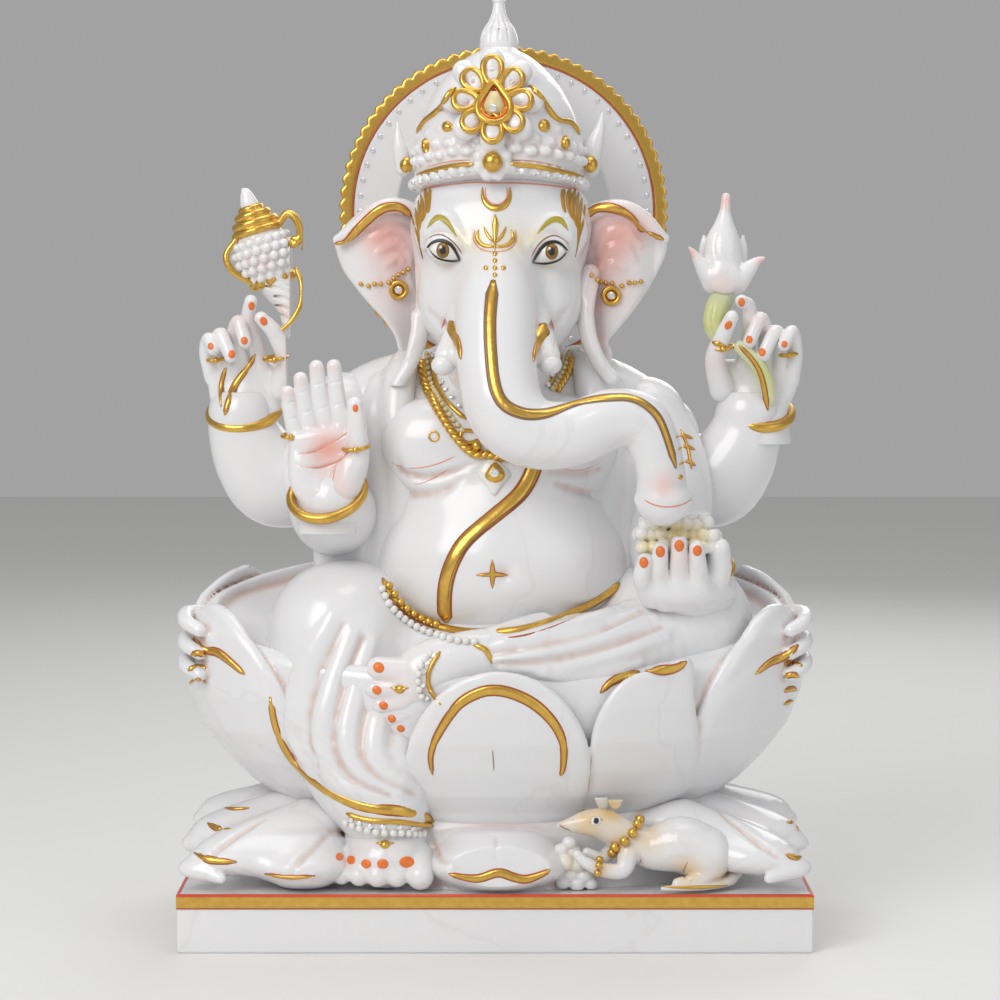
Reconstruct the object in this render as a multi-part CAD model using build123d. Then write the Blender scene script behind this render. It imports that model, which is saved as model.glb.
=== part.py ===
from build123d import *
import os
from math import atan2, cos, degrees, pi, radians, sin, sqrt

# A seated four-armed elephant-headed figure on a lotus, cut as stone blocks that are dowelled together.
# +Z is up, the figure faces -Y, and the origin is the centre of the plinth's underside. Millimetres.
# "right" and "left" are the figure's own, so the right side is at -X.

# Driving sizes of the base
plinth_width = 402.0
plinth_depth = 230.0
plinth_height = 37.0
plinth_edge = 1.5
apron_height = 46.0
bowl_half_width = 202.0
bowl_half_depth = 110.0
bowl_height = 150.0
bowl_front_drop = 56.0
bowl_foot_half_width = 141.0
bowl_foot_half_depth = 78.0
petal_thickness = 7.0

# Driving sizes of the figure
belly_half_width = 92.0
belly_half_depth = 82.0
shoulder_half_width = 98.0
seat_sink = 18.0
knee_reach = 107.0
torso_height = 205.0
head_half_width = 60.0
head_half_depth = 56.0
head_half_height = 70.0
trunk_root_radius = 28.0
trunk_tip_radius = 13.0
ear_thickness = 9.0
wrist_radius = 21.0
front_wrist_radius = 24.0
finger_radius = 6.5

mouse_x = 112.0

# Crown and halo
crown_height = 94.0
finial_height = 41.4
finial_radius = 13.8
finial_x = 2.7
finial_y = 8.0
crown_stone_count = 14
halo_inner_radius = 71.0
halo_ring_radius = 102.0
halo_rim_radius = 111.4
halo_thickness = 10.0
halo_scallops = 78
scallop_depth = 2.2

# Dressing, stones and dowels
bangle_section = 5.5
belt_width = 10.0
belt_z = 216.0
necklace_z = 316.0
band_thickness = 4.0
bead_radius = 3.4
stone_radius = 2.2
stone_height = 1.5
halo_stone_count = 58
dowel_radius = 4.0
dowel_length = 44.0
dowel_clearance = 0.1
halo_dowel_radius = 2.5

# Levels up the figure, each on top of the last
apron_z = plinth_height
bowl_z = apron_z + apron_height
seat_z = bowl_z + bowl_height - bowl_front_drop
torso_z = seat_z - seat_sink
neck_z = torso_z + torso_height
head_z = neck_z + head_half_height * 0.92
brow_z = head_z + head_half_height * 0.66
crown_top_z = brow_z + crown_height
halo_centre = (5.8, 57.0, head_z + 42.0)


def ellipsoid(centre, radii):
    return Pos(*centre) * scale(Sphere(1), by=radii)


def rod(start, end, start_radius, end_radius):
    # a tapered bar with round ends, the shape of a finger, a toe or a tusk
    start, end = Vector(*start), Vector(*end)
    length = (end - start).length
    slant = cos(pi / 4)
    outline = [
        ThreePointArc((0, -start_radius), (start_radius * slant, -start_radius * slant), (start_radius, 0)),
        Line((start_radius, 0), (end_radius, length)),
        ThreePointArc((end_radius, length), (end_radius * slant, length + end_radius * slant),
                      (0, length + end_radius)),
        Line((0, length + end_radius), (0, -start_radius)),
    ]
    turned = revolve(Plane.XZ * make_face(outline), Axis.Z)
    return Plane(origin=start, z_dir=end - start) * turned


def limb(stations):
    # a round bar that bends through (x, y, z, radius): a chain of tapered rods
    rods = []
    for a, b in zip(stations, stations[1:]):
        rods.append(rod(a[:3], b[:3], a[3] * 0.985, b[3]))
    return joined(rods)


def oval_stack(levels):
    # levels are (z, half width, half depth, y)
    return loft([Pos(0, y, z) * Ellipse(wide, deep) for z, wide, deep, y in levels], ruled=True)


def ring_on(centre, axis, bore_radius, section):
    return Plane(origin=centre, z_dir=axis) * Torus(bore_radius + section * 0.25, section)


def dowel(start, direction, length, radius, clearance=0.0):
    # a steel pin centred on the joint, or with a clearance the hole that it is glued into
    half = Align.CENTER
    return Plane(origin=start, z_dir=direction) * Cylinder(radius + clearance, length, align=(half, half, half))


def joined(shapes):
    whole = shapes[0]
    for shape in shapes[1:]:
        whole = whole + shape
    return whole


def mirrored(shape):
    return mirror(shape, Plane.YZ)


# Base: plinth, apron of drooping petals, lotus bowl
def make_plinth():
    block = Pos(0, 0, plinth_height / 2) * Box(plinth_width, plinth_depth, plinth_height)
    return chamfer(block.edges().group_by(Axis.Z)[-1], plinth_edge)


def petal_slab(angle, reach, width):
    # a pointed leaf lying on the plinth, from the middle outwards
    tip = (reach, 0)
    shoulder = (reach * 0.62, width / 2)
    outline = [
        ThreePointArc((0, 0), (reach * 0.30, width * 0.42), shoulder),
        ThreePointArc(shoulder, (reach * 0.88, width * 0.26), tip),
        ThreePointArc(tip, (reach * 0.88, -width * 0.26), (shoulder[0], -shoulder[1])),
        ThreePointArc((shoulder[0], -shoulder[1]), (reach * 0.30, -width * 0.42), (0, 0)),
    ]
    leaf = extrude(make_face(outline), petal_thickness)
    return Pos(0, 0, apron_z) * Rot(0, 0, angle) * leaf


def make_apron():
    mound = oval_stack([
        (apron_z, plinth_width * 0.44, plinth_depth * 0.43, 0),
        (apron_z + apron_height * 0.45, plinth_width * 0.37, plinth_depth * 0.36, 0),
        (bowl_z, bowl_foot_half_width, bowl_foot_half_depth, 0),
    ])
    corner = degrees(atan2(plinth_depth / 2, plinth_width / 2))
    corner_reach = sqrt(plinth_width**2 + plinth_depth**2) / 2 - 12
    leaves = [petal_slab(a, corner_reach, 92) for a in (corner, 180 - corner, 180 + corner, -corner)]
    leaves += [petal_slab(a, plinth_width / 2 - 4, 80) for a in (0, 180)]
    leaves += [petal_slab(a, plinth_depth / 2 - 6, 120) for a in (90, -90)]
    return joined([mound] + leaves)


def make_bowl():
    body = oval_stack([
        (bowl_z, bowl_foot_half_width, bowl_foot_half_depth, 0),
        (bowl_z + bowl_height * 0.25, bowl_half_width * 0.88, bowl_half_depth * 0.88, 0),
        (bowl_z + bowl_height * 0.56, bowl_half_width, bowl_half_depth, 0),
        (bowl_z + bowl_height * 0.85, bowl_half_width * 0.93, bowl_half_depth * 0.94, 2),
        (bowl_z + bowl_height, bowl_half_width * 0.66, bowl_half_depth * 0.72, 10),
    ])
    # the rim runs up from the front petal to the petals behind the hips
    lean = degrees(atan2(bowl_front_drop, bowl_half_depth * 1.35))
    cutter = Box(bowl_half_width * 3, bowl_half_depth * 4, bowl_height,
                 align=(Align.CENTER, Align.CENTER, Align.MIN))
    front = Pos(0, -bowl_half_depth, seat_z) * Rot(lean, 0, 0) * cutter
    return body - front


# Figure
torso_levels = [
    (torso_z, belly_half_width * 0.86, belly_half_depth * 0.84, 0),
    (torso_z + torso_height * 0.16, belly_half_width * 0.97, belly_half_depth * 0.96, -2),
    (torso_z + torso_height * 0.35, belly_half_width, belly_half_depth, -4),
    (torso_z + torso_height * 0.52, belly_half_width * 0.92, belly_half_depth * 0.90, -2),
    (torso_z + torso_height * 0.68, belly_half_width * 0.86, belly_half_depth * 0.78, 2),
    (torso_z + torso_height * 0.84, shoulder_half_width, belly_half_depth * 0.66, 6),
    (torso_z + torso_height * 0.93, shoulder_half_width * 0.76, belly_half_depth * 0.55, 10),
    (neck_z, head_half_width * 0.66, head_half_depth * 0.62, 6),
]


def band_on_torso(z, width, tilt_x, tilt_y, thickness):
    # a gilt band that lies on the body: a tilted slice of a slightly larger body, hollowed by the body itself
    skin = oval_stack([(level, wide + thickness, deep + thickness, y) for level, wide, deep, y in torso_levels])
    slab = Pos(0, 0, z) * Rot(tilt_x, tilt_y, 0) * Box(400, 400, width)
    return skin & slab


def make_torso():
    # the trunk of the body, with a block behind the neck that carries the halo
    return oval_stack(torso_levels) + ellipsoid((halo_centre[0], halo_centre[1] - 14, neck_z - 12), (62, 26, 36))


def make_shawl():
    # the cloth that hangs from the shoulder, behind the front arm and outside the body
    return ellipsoid((shoulder_half_width - 12, 36, torso_z + 110), (24, 24, 82))


def make_right_leg():
    knee = (-knee_reach, -42, seat_z + 6)
    ankle = (-72, -plinth_depth / 2 + 28, apron_z + 34)
    thigh = limb([(-36, 12, seat_z + 8, 44), (-72, -18, seat_z + 10, 46), (*knee, 47)])
    shin = limb([
        (knee[0], knee[1] - 4, knee[2] + 20, 42),
        (knee[0] - 2, knee[1] - 16, knee[2] - 28, 45),
        (knee[0] + 12, knee[1] - 30, knee[2] - 66, 40),
        (*ankle, 27),
    ])
    toe_y = -plinth_depth / 2 + 16
    sole = apron_z + petal_thickness
    foot = rod((ankle[0], ankle[1] + 8, ankle[2] - 6), (ankle[0], toe_y + 14, sole + 16), 22, 15)
    toes = [rod((ankle[0] + dx, toe_y + 16, sole + 10), (ankle[0] + dx, toe_y, sole + size), size + 1, size)
            for dx, size in ((24, 9), (9, 7.5), (-3, 7), (-14, 6.5), (-24, 6))]
    return joined([thigh, shin, foot] + toes)


def make_left_leg():
    knee = (knee_reach + 18, -28, seat_z + 4)
    ankle = (2, -78, seat_z + 8)
    thigh = limb([(38, 12, seat_z + 6, 44), (82, -6, seat_z + 10, 44), (*knee, 40)])
    shin = limb([(knee[0] - 2, knee[1] - 8, knee[2] - 4, 36), (knee[0] - 52, -62, seat_z + 4, 32), (*ankle, 20)])
    foot = rod(ankle, (ankle[0] - 44, ankle[1] - 4, ankle[2] - 8), 19, 20)
    toes = [rod((ankle[0] - 44, ankle[1] - 8, ankle[2] + dz), (ankle[0] - 44 - run, ankle[1] - 8, ankle[2] + dz),
                size, size)
            for dz, run, size in ((10, 34, 7.5), (-2, 30, 6.5), (-13, 25, 6), (-23, 20, 5.5), (-32, 14, 5))]
    return joined([thigh, shin, foot] + toes)


def make_head():
    skull = ellipsoid((3, -10, head_z), (head_half_width, head_half_depth, head_half_height))
    neck = limb([(0, 2, neck_z - 20, 34), (2, 0, neck_z + 10, 36), (2, -2, head_z - 10, 38)])
    return skull + neck


def trunk_path():
    front = -10 - head_half_depth
    drop = head_z - 10
    root, tip = trunk_root_radius, trunk_tip_radius
    middle = (root + tip) / 2
    return [
        (2, front + 22, drop + 14, root * 0.80),
        (2, front + 2, drop - 14, root * 0.98),
        (2, front - 22, drop - 46, root * 0.88),
        (7, front - 32, drop - 72, root * 0.84),
        (24, front - 36, drop - 90, middle * 0.98),
        (50, front - 36, drop - 92, middle * 0.88),
        (74, front - 34, drop - 86, middle * 0.80),
        (95, front - 32, drop - 92, middle * 0.72),
        (107, front - 30, drop - 110, tip * 0.98),
        (110, front - 28, drop - 138, tip),
    ]


def make_ear():
    # a broad leaf of stone with its lower lobe running down to the shoulder
    outline = Spline(
        (50, head_z - 18), (54, head_z + 40), (76, head_z + 46), (95, head_z + 34), (108, head_z + 16),
        (104, head_z - 8), (90, head_z - 28), (77, head_z - 46), (69, head_z - 60), (66, head_z - 74),
        (56, head_z - 64), (50, head_z - 18),
    )
    leaf = extrude(Plane.XZ * make_face(outline), ear_thickness)
    return Pos(0, 12, 0) * leaf


def make_tusk(side):
    return rod((3 + side * 30, -48, head_z - 58), (3 + side * 31, -62, head_z - 76), 7, 6.5)


def rear_wrist():
    return (shoulder_half_width + 74, 28, neck_z - 34)


def make_rear_arm():
    shoulder = (shoulder_half_width * 0.82, 26, neck_z - 52)
    elbow = (shoulder_half_width + 52, 32, torso_z + 132)
    wrist = rear_wrist()
    upper = limb([(*shoulder, 30), (shoulder_half_width + 28, 32, torso_z + 136, 32), (*elbow, 31)])
    fore = limb([(elbow[0], elbow[1], elbow[2] - 6, 29), (elbow[0] + 12, 30, elbow[2] + 26, 27),
                 (*wrist, wrist_radius)])
    return upper + fore


def make_fist(wrist, side):
    # a closed hand: palm, four curled fingers in a row and a raised thumb
    x, y, z = wrist
    palm = ellipsoid((x, y - 4, z + 34), (25, 17, 36))
    fingers = [rod((x + side * dx, y - 14, z + top), (x + side * dx, y - 22, z + top - 16),
                   finger_radius + 1, finger_radius)
               for dx, top in ((-2, 66), (10, 60), (20, 54))]
    raised = rod((x - side * 8, y - 12, z + 54), (x - side * 12, y - 18, z + 80), finger_radius + 1, finger_radius)
    thumb = rod((x - side * 18, y - 10, z + 42), (x - side * 14, y - 20, z + 64), finger_radius + 1, finger_radius)
    return joined([palm] + fingers + [raised, thumb])


def make_front_right_arm(wrist):
    elbow = (-112, -14, torso_z + 112)
    upper = limb([(-shoulder_half_width * 0.86, 6, neck_z - 56, 30), (-106, -4, neck_z - 96, 32), (*elbow, 33)])
    fore = limb([(elbow[0], elbow[1] - 2, elbow[2] - 2, 31), (elbow[0] + 1, -36, elbow[2] + 16, 29),
                 (*wrist, front_wrist_radius)])
    return upper + fore


def make_open_hand(wrist):
    x, y, z = wrist
    palm = ellipsoid((x, y - 4, z + 34), (28, 13, 36))
    fingers = [rod((x + dx, y - 5, z + 54), (x + dx * 1.12, y - 4, z + top), finger_radius + 0.5, finger_radius - 1)
               for dx, top in ((-22, 78), (-9, 94), (5, 104), (18, 104))]
    thumb = rod((x + 22, y - 8, z + 26), (x + 27, y - 12, z + 62), 9, finger_radius - 1)
    return joined([palm] + fingers + [thumb])


def make_front_left_arm(wrist):
    elbow = (112, -10, torso_z + 100)
    upper = limb([(shoulder_half_width * 0.86, 6, neck_z - 56, 30), (106, -2, neck_z - 92, 32), (*elbow, 32)])
    fore = limb([(elbow[0], elbow[1] - 2, elbow[2] - 2, 30), (elbow[0] + 3, -30, elbow[2] - 12, 27), (*wrist, 22)])
    return upper + fore


def make_cupped_hand(wrist):
    x, y, z = wrist
    palm = ellipsoid((x, y - 22, z - 4), (29, 24, 17))
    fingers = [rod((x + dx, y - 38, z - 10), (x + dx, y - 44, z + top), finger_radius + 0.5, finger_radius)
               for dx, top in ((-21, 6), (-8, 14), (5, 16), (18, 13))]
    thumb = rod((x + 22, y - 24, z + 2), (x + 30, y - 34, z + 16), 8, 7)
    return joined([palm] + fingers + [thumb])


def make_sweets(wrist):
    # round sweets heaped in the hand
    x, y, z = wrist
    layer = [(-16, -36, 14), (0, -38, 16), (16, -36, 15), (-10, -24, 20), (8, -24, 21), (-2, -32, 27), (9, -32, 26)]
    return joined([ellipsoid((x + dx, y + dy, z + dz), (11, 10, 9.5)) for dx, dy, dz in layer])


def make_conch(wrist):
    # a lidded pot standing on a scaled spiral stem
    x, y, z = wrist
    stem = limb([(x + 4, y - 6, z + 58, 9), (x + 14, y - 8, z + 82, 15), (x + 10, y - 8, z + 100, 17)])
    pot = Pos(x + 4, y - 8, z + 112) * Rot(0, -18, 0) * oval_stack([
        (-16, 13, 13, 0), (-8, 24, 23, 0), (6, 26, 25, 0), (18, 18, 18, 0), (25, 11, 11, 0), (33, 7, 7, 0)])
    knob = rod((x - 7, y - 8, z + 142), (x - 8, y - 8, z + 150), 7, 4)
    return joined([stem, pot, knob])


def make_bud(wrist):
    x, y, z = wrist
    stem = limb([(x - 4, y - 10, z + 46, 8), (x - 20, y - 10, z + 66, 11), (x - 24, y - 10, z + 84, 12)])
    bud = Pos(x - 22, y - 10, z) * oval_stack([
        (80, 12, 12, 0), (96, 19, 18, 0), (108, 20, 19, 0), (126, 11, 11, 0), (146, 5, 5, 0), (154, 4, 4, 0)])
    petals = [rod((x - 22 + s * 12, y - 12, z + 100), (x - 22 + s * 26, y - 14, z + 113), 7, 4) for s in (-1, 1)]
    return joined([stem, bud] + petals)


# Crown, finial and halo
crown_levels = [
    (brow_z, head_half_width * 0.98, head_half_depth * 0.98, -6),
    (brow_z + crown_height * 0.16, head_half_width * 1.04, head_half_depth * 1.02, -6),
    (brow_z + crown_height * 0.50, head_half_width * 0.88, head_half_depth * 0.80, -2),
    (brow_z + crown_height * 0.82, head_half_width * 0.46, head_half_depth * 0.46, 4),
    (crown_top_z, finial_radius * 0.86, finial_radius * 0.86, 8),
]


def make_crown():
    cap = oval_stack(crown_levels)
    horns = [rod((3 + s * (head_half_width - 3), -6, brow_z + 12), (3 + s * (head_half_width + 7), -4, brow_z + 54),
                 7, 2) for s in (-1, 1)]
    return joined([cap] + horns)


def make_finial():
    # a turned drop: narrow foot, round belly, drawn-out neck
    bulb, neck = finial_radius, finial_radius * 0.28
    foot, top = crown_top_z, crown_top_z + finial_height
    belly_z = foot + finial_height * 0.26
    outline = [
        Line((0, foot), (bulb * 0.84, foot)),
        Spline((bulb * 0.84, foot), (bulb, belly_z), (bulb * 0.60, foot + finial_height * 0.56),
               (neck * 1.2, foot + finial_height * 0.80), (neck, top - neck)),
        ThreePointArc((neck, top - neck), (neck * cos(pi / 4), top - neck + neck * sin(pi / 4)), (0, top)),
        Line((0, top), (0, foot)),
    ]
    return Pos(finial_x, finial_y, 0) * revolve(Plane.XZ * make_face(outline), Axis.Z)


def halo_disc(radius, thickness):
    # a disc whose front face lies on the halo's front plane, y = halo_centre y minus half the thickness
    x, y, z = halo_centre
    front = y - halo_thickness / 2
    disc = Cylinder(radius, thickness, align=(Align.CENTER, Align.CENTER, Align.MIN))
    return Pos(x, front, z) * Rot(-90, 0, 0) * disc


def make_halo_ring():
    return halo_disc(halo_ring_radius, halo_thickness) - halo_disc(halo_inner_radius, halo_thickness * 3)


def make_halo_rim():
    bumps = []
    for i in range(halo_scallops):
        turn = 2 * pi * i / halo_scallops
        bumps.append(((halo_rim_radius - scallop_depth) * cos(turn), (halo_rim_radius - scallop_depth) * sin(turn)))
    edges = []
    for a, b in zip(bumps, bumps[1:] + bumps[:1]):
        middle = Vector((a[0] + b[0]) / 2, (a[1] + b[1]) / 2)
        crest = middle.normalized() * halo_rim_radius
        edges.append(ThreePointArc(a, (crest.X, crest.Y), b))
    x, y, z = halo_centre
    plate = extrude(make_face(edges), halo_thickness)
    placed = Pos(x, y - halo_thickness / 2, z) * Rot(-90, 0, 0) * plate
    return placed - halo_disc(halo_ring_radius, halo_thickness * 3)


def make_halo_stones():
    x, y, z = halo_centre
    stones = []
    for i in range(halo_stone_count):
        turn = radians(-42 + i * 264 / (halo_stone_count - 1))
        reach = halo_ring_radius - 5
        stone = Cone(stone_radius, stone_radius * 0.5, stone_height, align=(Align.CENTER, Align.CENTER, Align.MIN))
        place = Pos(x + reach * cos(turn), y - halo_thickness / 2, z + reach * sin(turn))
        stones.append(place * Rot(90, 0, 0) * stone)
    return Compound(children=stones)


# Mouse and its sweet, on the front edge of the plinth
def make_mouse():
    x, y, z = mouse_x, -plinth_depth / 2 + 24, apron_z
    body = ellipsoid((x + 6, y, z + 24), (34, 21, 25))
    haunch = ellipsoid((x + 22, y - 6, z + 18), (18, 17, 19))
    head = rod((x - 24, y - 2, z + 48), (x - 50, y - 4, z + 38), 14, 6)
    neck = rod((x - 12, y, z + 34), (x - 24, y - 2, z + 46), 17, 13)
    ears = [rod((x - 18, y + s, z + 54), (x - 20, y + s, z + 63), 7, 6.5) for s in (-9, 8)]
    arm = rod((x - 14, y - 14, z + 18), (x - 36, y - 14, z + 24), 7, 5)
    foot = ellipsoid((x - 4, y - 4, z + 6), (46, 19, 7.5))
    whole = joined([body, haunch, head, neck] + ears + [arm, foot])
    table = Pos(x, y, z) * Box(200, 120, 60, align=(Align.CENTER, Align.CENTER, Align.MAX))
    return whole - table


def make_mouse_sweet():
    x, y, z = mouse_x, -plinth_depth / 2 + 24, apron_z
    heap = [(-50, -4, 10, 13), (-42, -6, 22, 10), (-56, -4, 20, 9), (-38, -8, 8, 11)]
    balls = [ellipsoid((x + dx, y + dy, z + dz), (r, r, r)) for dx, dy, dz, r in heap]
    table = Pos(x, y, z) * Box(300, 220, 60, align=(Align.CENTER, Align.CENTER, Align.MAX))
    return joined(balls) - table


def make_mouse_collar():
    x, y, z = mouse_x, -plinth_depth / 2 + 24, apron_z
    return Plane(origin=(x - 17, y - 1, z + 40), z_dir=(-12, 0, 15)) * Torus(16, bead_radius)


def make_pendant():
    return ellipsoid((-1, -belly_half_depth * 0.90, torso_z + torso_height * 0.62), (12, 8, 15))


# Stones that are glued on
def bead_group(places, radius):
    return Compound(children=[Pos(*place) * Sphere(radius) for place in places])


def crown_stone_places():
    wide, deep = head_half_width * 1.04, head_half_depth * 1.03
    places = []
    for i in range(crown_stone_count):
        turn = radians(-160 + (i + 0.5) * 140 / crown_stone_count)
        places.append((wide * cos(turn), -6 + deep * sin(turn), brow_z + crown_height * 0.09))
    return places


def flower_stone_places():
    centre_y, centre_z = -6 - head_half_depth * 0.80 - 9, brow_z + crown_height * 0.56
    places = [(0, centre_y, centre_z)]
    for i in range(8):
        turn = 2 * pi * i / 8
        places.append((16 * sin(turn), centre_y, centre_z + 18 * cos(turn)))
    return places


def make_crown_flower():
    centre = (0, -6 - head_half_depth * 0.80, brow_z + crown_height * 0.56)
    plate = Pos(*centre) * Rot(90, 0, 0) * Cylinder(23, 8, align=(Align.CENTER, Align.CENTER, Align.MIN))
    tip = rod((0, centre[1] - 3, centre[2] + 18), (0, centre[1] - 3, centre[2] + 31), 9, 4)
    backing = rod((0, centre[1] + 24, centre[2]), (0, centre[1], centre[2]), 20, 14)
    return joined([plate, tip, backing])


def make_crown_boss():
    # a gilt button in the middle of the crown's lower band
    return ellipsoid((0, -6 - head_half_depth * 1.02, brow_z + crown_height * 0.12), (8, 7, 8))


def ankle_ring(centre, axis, radius):
    return Plane(origin=centre, z_dir=axis) * Torus(radius, 4.2)


def make_anklet_right():
    return ankle_ring((-72, -plinth_depth / 2 + 30, apron_z + 46), (0.1, -0.35, 1), 29)


def make_anklet_left():
    return ankle_ring((-8, -79, seat_z + 7), (1, 0.1, 0.1), 20)


def make_ear_studs():
    return Compound(children=[Pos(s * 80, 0, head_z - 30) * Rot(90, 0, 0) * Cylinder(6, 10) for s in (-1, 1)])


def boxes_meet(a, b):
    # whether two bounding boxes come near enough to touch
    apart = (a.min.X > b.max.X or b.min.X > a.max.X or a.min.Y > b.max.Y or b.min.Y > a.max.Y
             or a.min.Z > b.max.Z or b.min.Z > a.max.Z)
    return not apart


def cut_back(shape, filled, count):
    # the shape less what its neighbours fill, kept as this many solids and no crumbs
    solids = shape.solids()
    box = shape.bounding_box()
    for other, other_box in filled:
        if boxes_meet(box, other_box):
            solids = [left for solid in solids for left in (solid - other).solids()]
    solids = sorted(solids, key=lambda solid: -solid.volume)[:count]
    return solids[0] if count == 1 else Compound(children=solids)


def make_dowels():
    # each joint's name, its pins as (start, direction, length, radius)
    wrist = rear_wrist()
    up = (0, 0, 1)
    ring_z = halo_centre[2] - (halo_ring_radius + halo_inner_radius) / 2
    return {
        "base_dowels": [((s * 80, 20, apron_z), up, 50, dowel_radius) for s in (-1, 1)],
        "lotus_dowels": [((s * 80, 30, bowl_z), up, 50, dowel_radius) for s in (-1, 1)],
        "torso_dowels": [((s * 40, 10, torso_z), up, 60, dowel_radius) for s in (-1, 1)],
        "neck_dowel": [((0, 4, neck_z), up, 60, dowel_radius)],
        "crown_dowel": [((0, 4, brow_z + 24), up, 50, dowel_radius)],
        "finial_dowel": [((finial_x, finial_y, crown_top_z), up, 26, dowel_radius)],
        "wrist_dowels": [((s * wrist[0], wrist[1], wrist[2] + 4), up, dowel_length, dowel_radius) for s in (-1, 1)],
        "shoulder_dowels": [((s * shoulder_half_width * 0.86, 20, neck_z - 62), (s, 0.1, -0.4), dowel_length,
                             dowel_radius) for s in (-1, 1)],
        "halo_dowels": [((halo_centre[0] + s * 22, halo_centre[1], ring_z - 6), up, 36, halo_dowel_radius)
                        for s in (-1, 1)],
    }


def main():
    os.makedirs("parts", exist_ok=True)
    wrist, palm_wrist, cup_wrist = rear_wrist(), (-108, -52, torso_z + 122), (118, -48, seat_z + 50)
    fixed, filled = {}, []
    for name, places in make_dowels().items():
        fixed[name] = Compound(children=[dowel(*place) for place in places])
        for place in places:
            hole = dowel(*place, dowel_clearance)
            filled.append((hole, hole.bounding_box()))

    # every piece is cut back from all that stand before it, so that blocks meet face to face
    rear_arm, fist = make_rear_arm(), make_fist(wrist, 1)
    shawl, ear = make_shawl(), make_ear()
    bangle_rear = ring_on(wrist, (0.15, 0, 1), wrist_radius, bangle_section)
    pieces = [
        ("plinth", make_plinth(), 1),
        ("torso", make_torso(), 1),
        ("head", make_head(), 1),
        ("leg_right", make_right_leg(), 1),
        ("leg_left", make_left_leg(), 1),
        ("lotus_bowl", make_bowl(), 1),
        ("petal_apron", make_apron(), 1),
        ("trunk", limb(trunk_path()), 1),
        ("crown", make_crown(), 1),
        ("crown_finial", make_finial(), 1),
        ("arm_front_right", make_front_right_arm(palm_wrist), 1),
        ("arm_front_left", make_front_left_arm(cup_wrist), 1),
        ("arm_rear_left", rear_arm, 1),
        ("arm_rear_right", mirrored(rear_arm), 1),
        ("shawl_left", shawl, 1),
        ("shawl_right", mirrored(shawl), 1),
        ("ear_left", ear, 1),
        ("ear_right", mirrored(ear), 1),
        ("tusk_left", make_tusk(1), 1),
        ("tusk_right", make_tusk(-1), 1),
        ("halo_ring", make_halo_ring(), 1),
        ("halo_rim", make_halo_rim(), 1),
        ("hand_rear_left", fist, 1),
        ("hand_rear_right", mirrored(fist), 1),
        ("hand_front_right", make_open_hand(palm_wrist), 1),
        ("hand_front_left", make_cupped_hand(cup_wrist), 1),
        ("sweets", make_sweets(cup_wrist), 1),
        ("conch_pot", make_conch((-wrist[0], wrist[1], wrist[2])), 1),
        ("lotus_bud", make_bud(wrist), 1),
        ("mouse", make_mouse(), 1),
        ("mouse_sweet", make_mouse_sweet(), 1),
        ("mouse_collar", make_mouse_collar(), 1),
        ("belt", band_on_torso(belt_z, belt_width, -16, 0, band_thickness), 1),
        ("necklace_outer", band_on_torso(necklace_z, 9, -30, 0, band_thickness), 1),
        ("necklace_inner", band_on_torso(necklace_z + 26, 7, -24, 0, band_thickness), 1),
        ("sacred_thread", band_on_torso(necklace_z - 40, 9, 0, 58, band_thickness), 2),
        ("necklace_pendant", make_pendant(), 1),
        ("bangle_rear_left", bangle_rear, 1),
        ("bangle_rear_right", mirrored(bangle_rear), 1),
        ("bangle_front_right", ring_on(palm_wrist, (0, -0.5, 1), front_wrist_radius, bangle_section), 1),
        ("bangle_front_left", ring_on(cup_wrist, (0.1, -0.9, -0.35), 22, bangle_section), 1),
        ("anklet_right", make_anklet_right(), 1),
        ("anklet_left", make_anklet_left(), 1),
        ("crown_flower", make_crown_flower(), 1),
        ("crown_boss", make_crown_boss(), 1),
        ("halo_stones", make_halo_stones(), halo_stone_count),
        ("crown_stones", bead_group(crown_stone_places(), stone_radius), crown_stone_count),
        ("flower_stones", bead_group(flower_stone_places(), stone_radius), 9),
        ("ear_studs", make_ear_studs(), 2),
    ]
    for name, shape, count in pieces:
        fixed[name] = cut_back(shape, filled, count)
        filled += [(solid, solid.bounding_box()) for solid in fixed[name].solids()]
    for name, shape in fixed.items():
        export_step(shape, f"parts/{name}.step")
        print(name, len(shape.solids()), round(shape.volume))
    print(len(fixed), "nodes")


main()
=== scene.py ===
import math
import random

import bmesh
import bpy
import numpy as np
import openvdb
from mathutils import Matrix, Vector
from mathutils.bvhtree import BVHTree


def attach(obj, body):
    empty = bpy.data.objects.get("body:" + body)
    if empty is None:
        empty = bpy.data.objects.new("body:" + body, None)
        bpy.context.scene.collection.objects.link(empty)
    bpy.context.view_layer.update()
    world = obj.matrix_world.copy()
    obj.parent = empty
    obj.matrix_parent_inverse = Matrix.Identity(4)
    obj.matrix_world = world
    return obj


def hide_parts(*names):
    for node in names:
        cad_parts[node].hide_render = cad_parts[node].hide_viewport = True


# The idol is carved from numpy distance fields, in millimetres, +Z up and facing -Y.
# Most places are given as they are seen from the eye: u across and v up on the upright plane
# through the plinth's centre, and y for the depth.
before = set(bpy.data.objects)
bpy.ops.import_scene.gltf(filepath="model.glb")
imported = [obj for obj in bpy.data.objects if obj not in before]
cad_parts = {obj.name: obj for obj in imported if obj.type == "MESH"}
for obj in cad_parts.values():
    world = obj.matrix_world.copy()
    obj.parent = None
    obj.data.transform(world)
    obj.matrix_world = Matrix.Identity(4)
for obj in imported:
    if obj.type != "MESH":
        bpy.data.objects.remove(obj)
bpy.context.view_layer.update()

studio = {
    "eyeY": -1987.0,
    "eyeZ": 421.0,
    "lens": 108.0,
    "sensor": 36.0,
    "shiftX": 0.005,
    "tilt": 4.08,
    "keyPower": 27,
    "fillPower": 6,
    "topPower": 10,
    "backPower": 6,
    "worldGrey": 0.36,
}
metre = 0.001
farAway = 60.0
bodyName = "root"


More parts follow.
